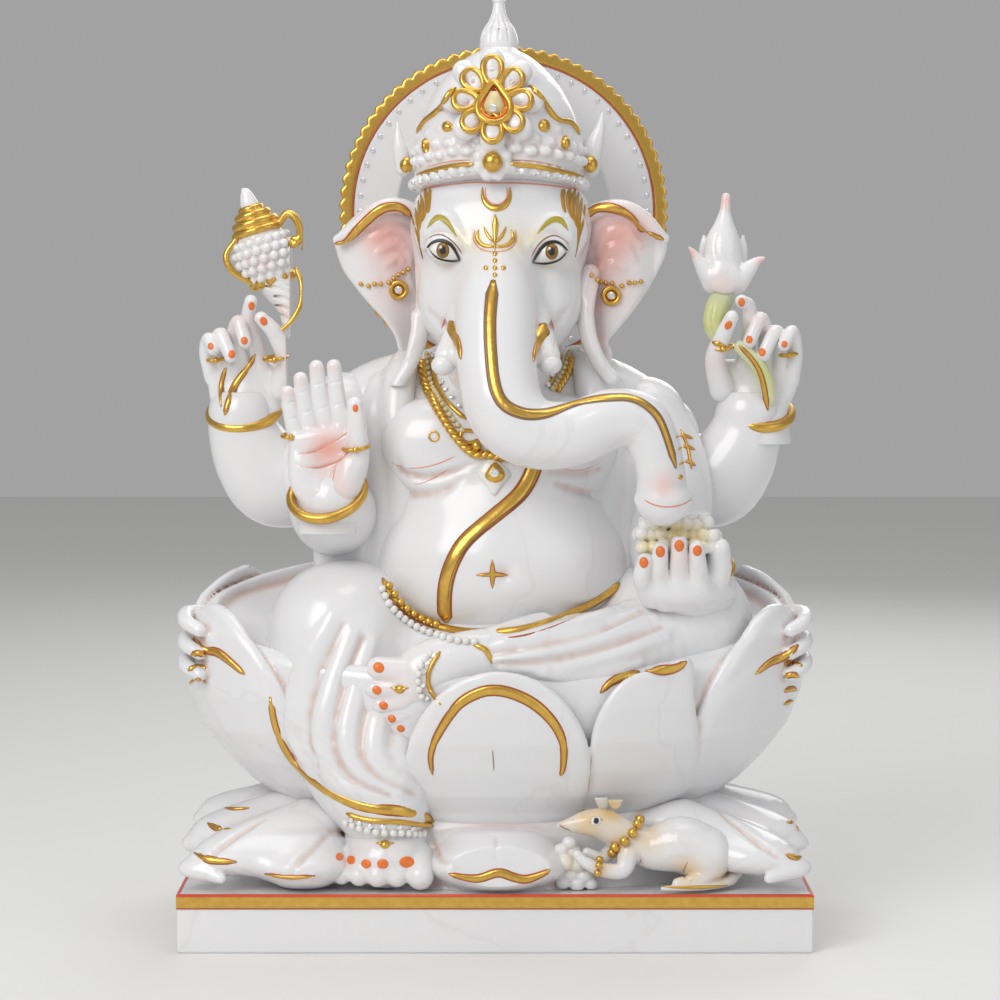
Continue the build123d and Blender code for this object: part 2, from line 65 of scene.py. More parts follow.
def at(u, v, y):
    # the point at depth y that is seen at u, v
    share = (y - studio["eyeY"]) / -studio["eyeY"]
    return (u * share, y, studio["eyeZ"] + (v - studio["eyeZ"]) * share)


def smoothPath(points, steps):
    # a Catmull-Rom curve through the points, any number of values in each
    rows = np.array(points, float)
    if len(rows) < 3:
        return np.array([rows[0] + (rows[-1] - rows[0]) * t for t in np.linspace(0, 1, steps + 1)])
    ends = np.vstack([2 * rows[0] - rows[1], rows, 2 * rows[-1] - rows[-2]])
    out = []
    for i in range(1, len(ends) - 2):
        a, b, c, d = ends[i - 1:i + 3]
        for t in np.linspace(0, 1, steps, endpoint=False):
            out.append(0.5 * (2 * b + (c - a) * t + (2 * a - 5 * b + 4 * c - d) * t**2
                              + (3 * b - a - 3 * c + d) * t**3))
    out.append(rows[-1])
    return np.array(out)


def closedPath(points, steps):
    rows = list(points)
    loop = smoothPath([rows[-1]] + rows + [rows[0], rows[1]], steps)
    return loop[steps:-steps - 1]


class Clay:
    # a block of stone held as signed distances in a grid
    def __init__(self, low, high, step):
        self.low = np.array(low, float)
        self.step = step
        size = [int(math.ceil((b - a) / step)) + 1 for a, b in zip(low, high)]
        self.field = np.full(size, farAway, np.float32)

    def window(self, low, high):
        spans, axes = [], []
        for i in range(3):
            a = max(0, int((low[i] - self.low[i]) / self.step) - 1)
            b = min(self.field.shape[i], int((high[i] - self.low[i]) / self.step) + 3)
            if b <= a + 1:
                return None, None
            spans.append(slice(a, b))
            axes.append((self.low[i] + self.step * np.arange(a, b)).astype(np.float32))
        return tuple(spans), (axes[0][:, None, None], axes[1][None, :, None], axes[2][None, None, :])

    def join(self, spans, distance, blend):
        old = self.field[spans]
        if blend > 0:
            h = np.maximum(blend - np.abs(old - distance), 0) / blend
            self.field[spans] = np.minimum(old, distance) - h * h * blend * 0.25
        else:
            self.field[spans] = np.minimum(old, distance)

    def carve(self, spans, distance, blend):
        old = self.field[spans]
        inner = -distance
        h = np.maximum(blend - np.abs(old - inner), 0) / blend
        self.field[spans] = np.maximum(old, inner) + h * h * blend * 0.25

    def ball(self, centre, radii, blend=6.0, turn=(0, 0, 0), cut=False):
        reach = max(radii) + blend + 2 * self.step
        if turn == (0, 0, 0):
            spread = [r + blend + 2 * self.step for r in radii]
        else:
            spread = [reach] * 3
        spans, axes = self.window([c - s for c, s in zip(centre, spread)],
                                  [c + s for c, s in zip(centre, spread)])
        if spans is None:
            return
        x, y, z = (axes[i] - centre[i] for i in range(3))
        if turn != (0, 0, 0):
            m = turnMatrix(turn)
            x, y, z = (m[0][i] * x + m[1][i] * y + m[2][i] * z for i in range(3))
        k0 = np.sqrt((x / radii[0])**2 + (y / radii[1])**2 + (z / radii[2])**2)
        k1 = np.sqrt((x / radii[0]**2)**2 + (y / radii[1]**2)**2 + (z / radii[2]**2)**2) + 1e-6
        distance = k0 * (k0 - 1) / k1
        (self.carve if cut else self.join)(spans, distance, max(blend, 0.5))

    def limb(self, points, blend=6.0, steps=6, flat=None, cut=False):
        # a bar through (x, y, z, radius); flat is (axis, factor) to press it thin along an axis
        path = smoothPath(points, steps)
        factor = flat[1] if flat else 1.0
        axis = np.array(flat[0], float) / np.linalg.norm(flat[0]) if flat else None
        reach = path[:, 3].max() + blend + 2 * self.step
        spans, axes = self.window(path[:, :3].min(0) - reach, path[:, :3].max(0) + reach)
        if spans is None:
            return
        total = np.full([len(axes[i].ravel()) for i in range(3)], farAway, np.float32)
        starts = [s.start for s in spans]
        for a, b in zip(path[:-1], path[1:]):
            near = max(a[3], b[3]) + blend + 2 * self.step
            small, ax = self.window(np.minimum(a[:3], b[:3]) - near, np.maximum(a[:3], b[:3]) + near)
            if small is None:
                continue
            local = tuple(slice(s.start - o, s.stop - o) for s, o in zip(small, starts))
            x, y, z = (ax[i] - a[i] for i in range(3))
            ab = b[:3] - a[:3]
            if flat:
                along = (x * axis[0] + y * axis[1] + z * axis[2]) * (1 / factor - 1)
                x, y, z = x + along * axis[0], y + along * axis[1], z + along * axis[2]
                ab = ab + axis * (ab @ axis) * (1 / factor - 1)
            t = np.clip((x * ab[0] + y * ab[1] + z * ab[2]) / max(ab @ ab, 1e-9), 0, 1)
            d = np.sqrt((x - t * ab[0])**2 + (y - t * ab[1])**2 + (z - t * ab[2])**2) - (a[3] + t
                    * (b[3] - a[3]))
            if flat:
                d = d * min(1.0, factor * 1.4)
            total[local] = np.minimum(total[local], d)
        (self.carve if cut else self.join)(spans, total, max(blend, 0.5))

    def plate(self, outline, depth, thickness, edge=3.0, blend=3.0, steps=6, cut=False, plain=False):
        # a slab with this outline in u, v; depth(x, z) gives its middle and thickness its half thickness
        loop = np.array(outline, float) if plain else closedPath(outline, steps)
        middle = depth if callable(depth) else (lambda x,
                                                z: np.full(np.broadcast(x, z).shape, float(depth)))
        mid = float(np.mean(middle(np.array([0.0]),
                                   np.array([300.0])))) if not callable(depth) else depth.typical
        loop = np.array([at(u, v, mid) for u, v in loop])[:, [0, 2]]
        low, high = loop.min(0), loop.max(0)
        reach = blend + edge + 3 * self.step
        yLow, yHigh = (mid - 60, mid + 60) if callable(depth) else (mid - thickness - reach,
                mid + thickness + reach)
        spans, axes = self.window((low[0] - reach, yLow, low[1] - reach),
                                  (high[0] + reach, yHigh, high[1] + reach))
        if spans is None:
            return
        x, z = axes[0][:, 0, :], axes[2][0, :, :]
        flatDistance = outlineDistance(x, z, loop)[:, None, :]
        y0 = middle(x, z)[:, None, :]
        across = np.abs(axes[1] - y0) - thickness
        h = np.maximum(edge - np.abs(flatDistance - across), 0) / edge
        distance = np.maximum(flatDistance, across) + h * h * edge * 0.25
        (self.carve if cut else self.join)(spans, distance.astype(np.float32), max(blend, 0.5))

    def surface(self, u, v, nearest=-140.0, furthest=110.0):
        # the first point of stone along the line of sight, or None
        ys = np.arange(nearest, furthest, self.step)
        points = np.array([at(u, v, y) for y in ys])
        index = np.rint((points - self.low) / self.step).astype(int)
        inside = np.all((index >= 0) & (index < self.field.shape), axis=1)
        values = np.full(len(ys), farAway)
        good = index[inside]
        values[inside] = self.field[good[:, 0], good[:, 1], good[:, 2]]
        hit = np.nonzero(values <= 0)[0]
        if not len(hit):
            return None
        k = hit[0]
        if k == 0:
            return points[0]
        t = values[k - 1] / (values[k - 1] - values[k]) if values[k - 1] < farAway else 0.5
        return points[k - 1] + (points[k] - points[k - 1]) * t

    def stroke(self, points, radius, sink, blend, cut, taper=True, steps=6):
        # a fold raised (or a groove cut) along a line seen at u, v on the stone as it is now
        path = smoothPath(points, steps)
        found = []
        for i, (u, v) in enumerate(path[:, :2]):
            p = self.surface(u, v)
            if p is None:
                continue
            t = i / (len(path) - 1)
            r = radius * (min(1.0, 3.2 * t + 0.25, 3.2 * (1 - t) + 0.25) if taper else 1.0)
            found.append((p[0], p[1] + sink * (r / radius), p[2], r))
        runs, run = [], []
        for p in found:
            if run and abs(p[1] - run[-1][1]) > 14:
                runs.append(run)
                run = []
            run.append(p)
        runs.append(run)
        for run in runs:
            if len(run) > 1:
                self.limb(run, blend, steps=1, cut=cut)

    def groove(self, points, radius=2.0, depth=1.2, blend=1.5, taper=True):
        self.stroke(points, radius, depth - radius, blend, True, taper)

    def fold(self, points, radius=5.0, height=3.0, blend=5.0, taper=True):
        self.stroke(points, radius, radius - height, blend, False, taper)

    def mesh(self, name, material, smooth=1):
        grid = openvdb.FloatGrid(farAway)
        grid.copyFromArray(np.ascontiguousarray(self.field))
        points, triangles, quads = grid.convertToPolygons(isovalue=0.0, adaptivity=0.0)
        points = (points * self.step + self.low).astype(np.float32)
        faces = [tuple(int(i) for i in f) for f in quads] + [tuple(int(i) for i in f) for f in triangles]
        data = bpy.data.meshes.new(name)
        data.from_pydata((points * metre).tolist(), [], faces)
        data.validate()
        data.update()
        if signedVolume(data) < 0:
            data.flip_normals()
        return finishPiece(name, data, material, smooth)


def turnMatrix(turn):
    a, b, c = (math.radians(t) for t in turn)
    rx = np.array([[1, 0, 0], [0, math.cos(a), -math.sin(a)], [0, math.sin(a), math.cos(a)]])
    ry = np.array([[math.cos(b), 0, math.sin(b)], [0, 1, 0], [-math.sin(b), 0, math.cos(b)]])
    rz = np.array([[math.cos(c), -math.sin(c), 0], [math.sin(c), math.cos(c), 0], [0, 0, 1]])
    return rz @ ry @ rx


def outlineDistance(x, z, loop):
    # signed distance to a closed outline, negative inside
    shape = np.broadcast(x, z).shape
    best = np.full(shape, 1e9)
    inside = np.zeros(shape, bool)
    for a, b in zip(loop, np.roll(loop, -1, axis=0)):
        e = b - a
        dx, dz = x - a[0], z - a[1]
        t = np.clip((dx * e[0] + dz * e[1]) / max(e @ e, 1e-9), 0, 1)
        best = np.minimum(best, (dx - t * e[0])**2 + (dz - t * e[1])**2)
        if abs(e[1]) > 1e-9:
            crosses = (a[1] <= z) != (b[1] <= z)
            inside ^= crosses & (x < a[0] + (z - a[1]) * e[0] / e[1])
    return np.sqrt(best) * np.where(inside, -1, 1)


def signedVolume(data):
    data.calc_loop_triangles()
    co = np.zeros(len(data.vertices) * 3)
    data.vertices.foreach_get("co", co)
    co = co.reshape(-1, 3)
    tri = np.zeros(len(data.loop_triangles) * 3, np.int64)
    data.loop_triangles.foreach_get("vertices", tri)
    a, b, c = (co[tri.reshape(-1, 3)[:, i]] for i in range(3))
    return float(np.einsum("ij,ij->i", a, np.cross(b, c)).sum() / 6)


def finishPiece(name, data, material, smooth=0):
    piece = bpy.data.objects.new(name, data)
    bpy.context.scene.collection.objects.link(piece)
    data.materials.append(material)
    data.polygons.foreach_set("use_smooth", [True] * len(data.polygons))
    if smooth:
        relax(data, smooth)
    return piece


def relax(data, rounds):
    # evens out the grid's steps without shrinking the stone
    count = len(data.vertices)
    co = np.zeros(count * 3)
    data.vertices.foreach_get("co", co)
    co = co.reshape(-1, 3)
    ends = np.zeros(len(data.edges) * 2, np.int64)
    data.edges.foreach_get("vertices", ends)
    a, b = ends.reshape(-1, 2).T
    degree = np.bincount(np.concatenate([a, b]), minlength=count)[:, None]
    for pull in (0.5, -0.52) * rounds:
        total = np.zeros_like(co)
        for i in range(3):
            total[:, i] = np.bincount(a, co[b, i], count) + np.bincount(b, co[a, i], count)
        co = co + pull * (total / np.maximum(degree, 1) - co)
    data.vertices.foreach_set("co", co.ravel())
    data.update()


# Materials
def newMaterial(name, colour, rough, metallic=0.0, coat=0.0):
    material = bpy.data.materials.new(name)
    material.use_nodes = True
    nodes = material.node_tree.nodes
    shader = nodes["Principled BSDF"]
    shader.inputs["Base Color"].default_value = (*colour, 1)
    shader.inputs["Roughness"].default_value = rough
    shader.inputs["Metallic"].default_value = metallic
    shader.inputs["Coat Weight"].default_value = coat
    shader.inputs["Coat Roughness"].default_value = 0.08
    return material


def surfaceNoise(material, scale, detail, lowRough, highRough, bump, distance):
    # roughness that varies and a bump, from noise over the object's own coordinates
    tree = material.node_tree
    shader = tree.nodes["Principled BSDF"]
    place = tree.nodes.new("ShaderNodeTexCoord")
    noise = tree.nodes.new("ShaderNodeTexNoise")
    noise.inputs["Scale"].default_value = scale
    noise.inputs["Detail"].default_value = detail
    span = tree.nodes.new("ShaderNodeMapRange")
    span.inputs["To Min"].default_value = lowRough
    span.inputs["To Max"].default_value = highRough
    relief = tree.nodes.new("ShaderNodeBump")
    relief.inputs["Strength"].default_value = bump
    relief.inputs["Distance"].default_value = distance
    tree.links.new(place.outputs["Object"], noise.inputs["Vector"])
    tree.links.new(noise.outputs["Fac"], span.inputs["Value"])
    tree.links.new(span.outputs["Result"], shader.inputs["Roughness"])
    tree.links.new(noise.outputs["Fac"], relief.inputs["Height"])
    tree.links.new(relief.outputs["Normal"], shader.inputs["Normal"])
    return noise


def mixColour(tree, factor, first, second, blend="MIX"):
    mix = tree.nodes.new("ShaderNodeMix")
    mix.data_type = "RGBA"
    mix.blend_type = blend
    for value, socket in ((factor, mix.inputs[0]), (first, mix.inputs[6]), (second, mix.inputs[7])):
        if isinstance(value, (int, float)):
            socket.default_value = value
        elif isinstance(value, tuple):
            socket.default_value = (*value, 1) if len(value) == 3 else value
        else:
            tree.links.new(value, socket)
    return mix.outputs[2]


marbleLook = {
    "white": (0.84, 0.835, 0.845),
    "cloud": (0.78, 0.775, 0.79),
    "vein": (0.70, 0.685, 0.68),
    "subsurface": 0.12,
    "radius": (0.010, 0.007, 0.005),
    "lowRough": 0.16,
    "highRough": 0.27,
}


def makeMarble(name="polishedMarble"):
    material = newMaterial(name, marbleLook["white"], 0.2, coat=0.25)
    tree = material.node_tree
    shader = tree.nodes["Principled BSDF"]
    shader.inputs["Subsurface Weight"].default_value = marbleLook["subsurface"]
    shader.inputs["Subsurface Radius"].default_value = marbleLook["radius"]
    shader.inputs["Subsurface Scale"].default_value = 1.0
    surfaceNoise(material, 26, 5, marbleLook["lowRough"], marbleLook["highRough"], 0.06, 0.0006)
    cloud = tree.nodes.new("ShaderNodeTexNoise")
    cloud.inputs["Scale"].default_value = 7
    cloud.inputs["Detail"].default_value = 4
    tree.links.new(tree.nodes["Texture Coordinate"].outputs["Object"], cloud.inputs["Vector"])
    base = mixColour(tree, cloud.outputs["Fac"], marbleLook["white"], marbleLook["cloud"])
    wave = tree.nodes.new("ShaderNodeTexNoise")
    wave.inputs["Scale"].default_value = 3.2
    wave.inputs["Detail"].default_value = 8
    wave.inputs["Distortion"].default_value = 1.2
    tree.links.new(tree.nodes["Texture Coordinate"].outputs["Object"], wave.inputs["Vector"])
    ramp = tree.nodes.new("ShaderNodeValToRGB")
    ramp.color_ramp.elements[0].position = 0.492
    ramp.color_ramp.elements[0].color = (0, 0, 0, 1)
    ramp.color_ramp.elements[1].position = 0.508
    ramp.color_ramp.elements[1].color = (0, 0, 0, 1)
    middle = ramp.color_ramp.elements.new(0.5)
    middle.color = (0.35, 0.35, 0.35, 1)
    tree.links.new(wave.outputs["Fac"], ramp.inputs["Fac"])
    veined = mixColour(tree, ramp.outputs["Color"], base, marbleLook["vein"])
    # the tint attribute carries colour spots and the painted shade in the hollows, mixed over the marble
    tintAndCreaseShade = tree.nodes.new("ShaderNodeAttribute")
    tintAndCreaseShade.attribute_name = "tintAndCreaseShade"
    painted = mixColour(tree, tintAndCreaseShade.outputs["Alpha"], veined, tintAndCreaseShade.outputs["Color"])
    tree.links.new(painted, shader.inputs["Base Color"])
    return material


def makeGold():
    material = newMaterial("goldLeaf", (0.80, 0.52, 0.14), 0.3, metallic=1.0)
    tree = material.node_tree
    noise = surfaceNoise(material, 210, 6, 0.20, 0.42, 0.35, 0.0007)
    wear = mixColour(tree, noise.outputs["Fac"], (0.86, 0.56, 0.14), (0.62, 0.35, 0.06))
    tree.links.new(wear, tree.nodes["Principled BSDF"].inputs["Base Color"])
    return material


def makePaint(name, colour, shade, rough=0.32):
    material = newMaterial(name, colour, rough, coat=0.15)
    noise = surfaceNoise(material, 160, 4, rough * 0.8, rough * 1.25, 0.12, 0.0004)
    tree = material.node_tree
    worn = mixColour(tree, noise.outputs["Fac"], colour, shade)
    tree.links.new(worn, tree.nodes["Principled BSDF"].inputs["Base Color"])
    return material


marble = makeMarble()
gold = makeGold()
paints = {
    "rust": makePaint("rustLine", (0.36, 0.07, 0.012), (0.50, 0.13, 0.025)),
    "red": makePaint("redLine", (0.62, 0.05, 0.015), (0.72, 0.12, 0.05)),
    "orange": makePaint("orangeNail", (0.80, 0.14, 0.012), (0.88, 0.24, 0.04)),
    "coral": makePaint("coralLine", (0.72, 0.22, 0.12), (0.80, 0.36, 0.24)),
    "olive": makePaint("oliveBrow", (0.36, 0.27, 0.02), (0.50, 0.42, 0.05)),
    "black": makePaint("blackLine", (0.012, 0.010, 0.010), (0.03, 0.025, 0.02)),
    "iris": makePaint("brownIris", (0.16, 0.08, 0.012), (0.34, 0.19, 0.03), 0.15),
    "eyeWhite": makePaint("eyeWhite", (0.80, 0.79, 0.76), (0.86, 0.85, 0.82), 0.15),
    "umber": makePaint("umberLine", (0.20, 0.10, 0.05), (0.30, 0.17, 0.09)),
    "hair": makePaint("goldenHair", (0.50, 0.27, 0.02), (0.30, 0.14, 0.01), 0.4),
    "cream": makePaint("creamPaint", (0.76, 0.66, 0.40), (0.68, 0.54, 0.26)),
}
crystal = newMaterial("clearStone", (0.93, 0.94, 0.97), 0.04, metallic=0.55, coat=1.0)
surfaceNoise(crystal, 400, 2, 0.02, 0.10, 0.05, 0.0002)


def settle(piece, nodes):
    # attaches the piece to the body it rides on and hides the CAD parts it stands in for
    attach(piece, bodyName)
    if nodes:
        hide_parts(*nodes)
    return piece


stones = {}


def carved(clay, name, nodes, tints=(), smooth=1, material=None):
    piece = clay.mesh(name + "Stone", material or marble, smooth)
    paintTintsAndShade(piece.data, tints)
    settle(piece, nodes)
    stones[name] = piece
    print("carved", name, len(piece.data.vertices))
    return piece


def paintTintsAndShade(data, tints):
    # tints are (u, v, y, radius, colour, strength) spots of soft colour; with them a painted shade in the
    # hollows is kept in one attribute
    count = len(data.vertices)
    co = np.zeros(count * 3, np.float32)
    data.vertices.foreach_get("co", co)
    co = co.reshape(-1, 3) / metre
    colour = np.zeros((count, 4))
    for u, v, y, radius, shade, strength in tints:
        centre = np.array(at(u, v, y))
        spread = np.linalg.norm((co - centre), axis=1) / radius
        amount = strength * np.exp(-2.2 * spread**2)
        total = colour[:, 3] + amount * (1 - colour[:, 3])
        share = (amount / np.maximum(total, 1e-6))[:, None]
        colour[:, :3] = colour[:, :3] * (1 - share) + np.array(shade) * share
        colour[:, 3] = total
    # painted shade: points in hollows get a warm pinkish-brown colour that stands in for the shade
    # falling there
    creaseShade = creases(data, co)
    amount = np.clip(creaseShade, 0, 1) * 0.6
    total = colour[:, 3] + amount * (1 - colour[:, 3])
    share = (amount / np.maximum(total, 1e-6))[:, None]
    colour[:, :3] = colour[:, :3] * (1 - share) + np.array((0.62, 0.37, 0.26)) * share
    colour[:, 3] = total
    layer = data.attributes.new("tintAndCreaseShade", "FLOAT_COLOR", "POINT")
    layer.data.foreach_set("color", colour.astype(np.float32).ravel())


def creases(data, co):
    # how far each point lies in a hollow, from 0 to 1, which sets the painted shade in the hollows
    count = len(co)
    ends = np.zeros(len(data.edges) * 2, np.int64)
    data.edges.foreach_get("vertices", ends)
    a, b = ends.reshape(-1, 2).T
    degree = np.maximum(np.bincount(np.concatenate([a, b]), minlength=count), 1)[:, None]
    normal = np.zeros(count * 3, np.float32)
    data.vertices.foreach_get("normal", normal)
    normal = normal.reshape(-1, 3)
    soft = co.astype(float)
    for _ in range(4):
        total = np.zeros((count, 3))
        for i in range(3):
            total[:, i] = np.bincount(a, soft[b, i], count) + np.bincount(b, soft[a, i], count)
        soft = total / degree
    hollow = ((soft - co) * normal).sum(1)
    amount = np.clip((hollow - 0.10) * 3.0, 0, 1)
    for _ in range(2):
        amount = 0.5 * amount + 0.5 * (np.bincount(a, amount[b], count) + np.bincount(b, amount[a],
                count)) / degree[:, 0]
    return amount


# The head, its ears, trunk and tusks
pink = (0.88, 0.30, 0.21)
softPink = (0.88, 0.48, 0.40)
yellow = (0.84, 0.62, 0.06)


def makeHead():
    clay = Clay((-75, -135, 270), (138, 62, 500), 1.15)
    clay.ball((4, -4, 462), (60, 52, 46), 4)
    clay.ball((3, -6, 424), (55, 48, 50), 16)
    for side in (-1, 1):
        clay.ball((3 + side * 28, -24, 408), (24, 26, 26), 12)
        clay.ball((4 + side * 33, -36, 455), (22, 14, 15), 14)
    clay.limb([(3, -30, 384, 34), (3, 0, 350, 36)], 16)
    clay.limb([(*at(1.3, 462.7, -40), 16), (*at(1.3, 436.2, -50), 20), (*at(0.7, 411.1, -60), 25),
               (*at(0.7, 387.9, -72), 26), (*at(2, 361.4, -84), 25.5), (*at(8.6, 336.9, -92), 25),
               (*at(26.5, 323.6, -96), 22.5), (*at(53, 323.6, -98), 20.5), (*at(76.2, 332.9, -98), 19),
               (*at(96, 330.9, -98), 18), (*at(106, 315, -97), 16.5), (*at(109.9, 298.5, -95), 15.5),
               (*at(110.6, 287.9, -93), 16), (*at(111.3, 279.9, -92), 17.5)], 14)
    # the flared rim of the trunk's tip
    x, y, z = at(111.3, 279.9, -92)
    clay.limb([(x - 14, y - 4, z, 3.6), (x - 4, y - 12, z - 0.5, 3.6), (x + 8, y - 11, z, 3.6),
               (x + 15, y - 2, z + 2, 3.6)], 4)
    clay.limb([(*at(-21.9, 399.1, -52), 9), (*at(-25.8, 385.9, -62), 9), (*at(-31.1, 374.6, -70), 8.6)],
              5)
    clay.limb([(*at(27.2, 399.1, -52), 9), (*at(30.5, 385.9, -62), 9), (*at(34.4, 374.6, -70), 8.6)], 5)
    # eyes: a rounded ball, an upper lid and a raised fold above each
    for u, v in ((-34.4, 444.2), (37.1, 443.5)):
        x, y, z = at(u, v, -49)
        clay.ball((x, y, z), (10.5, 8, 7), 5)
    clay.fold([(-47, 444.8), (-41.7, 450.8), (-33.8, 452.8), (-26.5, 448.2), (-22.5, 441.5)], 2.2, 1.0, 2)
    clay.fold([(24.5, 440.2), (28.5, 446.8), (35.8, 452.1), (43.1, 450.1), (48.4, 444.2)], 2.2, 1.0, 2)
    clay.fold([(-45, 456.1), (-39.1, 462.7), (-30.5, 462.1), (-23.2, 454.8), (-19.2, 448.8)], 4.5, 1.2, 5)
    clay.fold([(23.2, 448.8), (28.5, 456.1), (37.1, 462.7), (45, 460.1), (49.7, 452.8)], 4.5, 1.2, 5)
    # the cheek's edge above each tusk
    clay.groove([(-44.4, 404.4), (-38.4, 397.2), (-31.8, 394.5)], 3.0, 1.6, 3)
    clay.groove([(48.4, 405.8), (43.1, 397.8), (35.8, 393.8)], 3.0, 1.6, 3)
    tints = [(1.3, 456.1, -75, 26, yellow, 0.20), (-16.6, 452.1, -65, 12, yellow, 0.4),
             (16.6, 452.1, -65, 12, yellow, 0.4),
             (-26.5, 453.5, -60, 9, yellow, 0.35), (27.8, 453.5, -60, 9, yellow, 0.35),
             (111.9, 289.2, -110, 12, pink, 0.35), (-34.4, 436.2, -52, 9, yellow, 0.3),
             (37.8, 436.2, -52, 9, yellow, 0.3)]
    return carved(clay, "head", ["head", "trunk", "tusk_left", "tusk_right"], tints)


def makeTuskEnds():
    clay = Clay((-50, -95, 350), (50, -40, 390), 0.7)
    clay.ball(at(-34.4, 368.7, -73), (7.6, 7.6, 6.6), 1)
    clay.ball(at(36.4, 369.3, -73), (7.6, 7.6, 6.6), 1)
    return carved(clay, "tuskEnds", [], smooth=1)


def makeEar(name, nodes, outline, rim, folds, lobe, tints, y):
    low = np.array([at(u, v, y) for u, v in outline]).min(0) - (16, 40, 12)
    high = np.array([at(u, v, y) for u, v in outline]).max(0) + (16, 34, 12)
    clay = Clay(low, high, 1.0)
    side = 1 if outline[0][0] > 0 else -1

    def cup(x, z):
        # the ear swings forwards away from the head
        reach = np.clip((side * x - 50) / 55, 0, 1)
        return y + 6 - 16 * np.sin(reach * math.pi * 0.9) + 0 * z
    cup.typical = y
    clay.plate(outline, cup, 4.2, edge=4, blend=1)
    if rim:
        clay.limb([(*at(u, v, yy), r) for u, v, yy, r in rim], 4)
    clay.limb([(*at(u, v, yy), r) for u, v, yy, r in lobe], 7)
    for line, radius, height in folds:
        clay.fold(line, radius, height, 3.5)
    return carved(clay, name, nodes, tints)


def makeEars():
    y = 2
    makeEar("rightEar", ["ear_right"],
            [(-49.7, 473.3), (-60.3, 475.3), (-72.9, 477.3), (-84.1, 473.3), (-94.7, 464.7),
             (-105.3, 452.8), (-104.6, 442.9), (-100, 430.9),
             (-92.1, 420.3), (-82.8, 409.1), (-73.5, 399.1), (-66.2, 387.9), (-62.9, 376.6), (-55, 368),
             (-47, 381.3), (-43.1, 404.4),
             (-44.4, 430.9), (-47, 457.4)],
            [(-47, 465.4, -8, 4.5), (-55, 471.3, -12, 5), (-65.6, 474, -15, 5.2), (-76.2, 472, -16, 5.2),
             (-86.1, 464.1, -14, 5), (-96, 456.1, -12, 4.4), (-104, 451.5, -10, 3.2)],
            [([(-84.1, 460.1), (-68.2, 466.7), (-55, 461.4), (-51, 448.2)], 3.6, 1.8),
             ([(-81.5, 452.1), (-68.2, 458.8), (-57.6, 453.5), (-53.6, 440.2)], 3.2, 1.6),
             ([(-77.5, 442.9), (-66.9, 449.5), (-58.9, 444.2), (-56.3, 432.3)], 3.0, 1.5),
             ([(-72.2, 434.9), (-64.9, 439.5), (-59.6, 434.2)], 2.6, 1.4),
             ([(-57.6, 427), (-53.6, 411.1), (-52.3, 391.2), (-57.6, 374)], 3.4, 1.8)],
            [(-47, 432.3, -16, 6), (-46.4, 411.1, -20, 6), (-49.7, 387.9, -24, 5.5), (-56.3, 370, -28, 5),
             (-64.9, 355.4, -30, 4.6)],
            [(-66.2, 450.8, -14, 26, pink, 0.62), (-79.5, 456.1, -14, 16, pink, 0.4),
             (-57.6, 436.2, -16, 18, pink, 0.5),
             (-53, 411.1, -16, 16, softPink, 0.6), (-56.3, 387.9, -18, 16, softPink, 0.5),
             (-68.2, 417.7, -10, 20, softPink, 0.3)],
            y)
    makeEar("leftEar", ["ear_left"],
            [(60.3, 473.3), (72.2, 475.3), (84.1, 476), (96, 470.7), (105.3, 462.1), (112.6, 454.8),
             (113.3, 444.2), (108, 430.9),
             (101.3, 419), (92.1, 405.8), (82.8, 394.5), (74.8, 384.6), (77.5, 376.6), (73.5, 368.7),
             (62.9, 377.9), (55, 397.8),
             (55, 424.3), (57.6, 454.1)],
            [(57.6, 464.1, -8, 4.5), (65.6, 470, -12, 5), (76.2, 472.7, -15, 5.2), (86.8, 472, -16, 5.2),
             (97.4, 466, -14, 5), (105.3, 458.1, -12, 4.4), (111.9, 452.1, -10, 3.2)],
            [([(65.6, 449.5), (69.5, 461.4), (82.8, 466.7), (97.4, 457.4)], 3.6, 1.8),
             ([(68.2, 441.5), (72.2, 453.5), (84.1, 457.4), (96, 448.2)], 3.2, 1.6),
             ([(70.2, 433.6), (74.8, 444.2), (84.1, 446.8), (92.1, 438.9)], 3.0, 1.5),
             ([(73.5, 429.6), (78.8, 436.2), (85.4, 432.3)], 2.6, 1.4),
             ([(66.9, 421.7), (61.6, 404.4), (64.2, 384.6), (70.9, 368.7)], 3.4, 1.8)],
            [(62.9, 429.6, -16, 6), (58.9, 411.1, -20, 6), (61.6, 387.9, -24, 5.5), (69.5, 370, -28, 5),
             (77.5, 359.4, -30, 4.6)],
            [(77.5, 453.5, -14, 26, pink, 0.62), (92.7, 457.4, -14, 16, pink, 0.4),
             (70.9, 436.2, -16, 18, pink, 0.5),
             (64.2, 407.8, -16, 16, softPink, 0.6), (66.9, 384.6, -18, 16, softPink, 0.5),
             (81.5, 417.7, -10, 20, softPink, 0.3)],
            y)


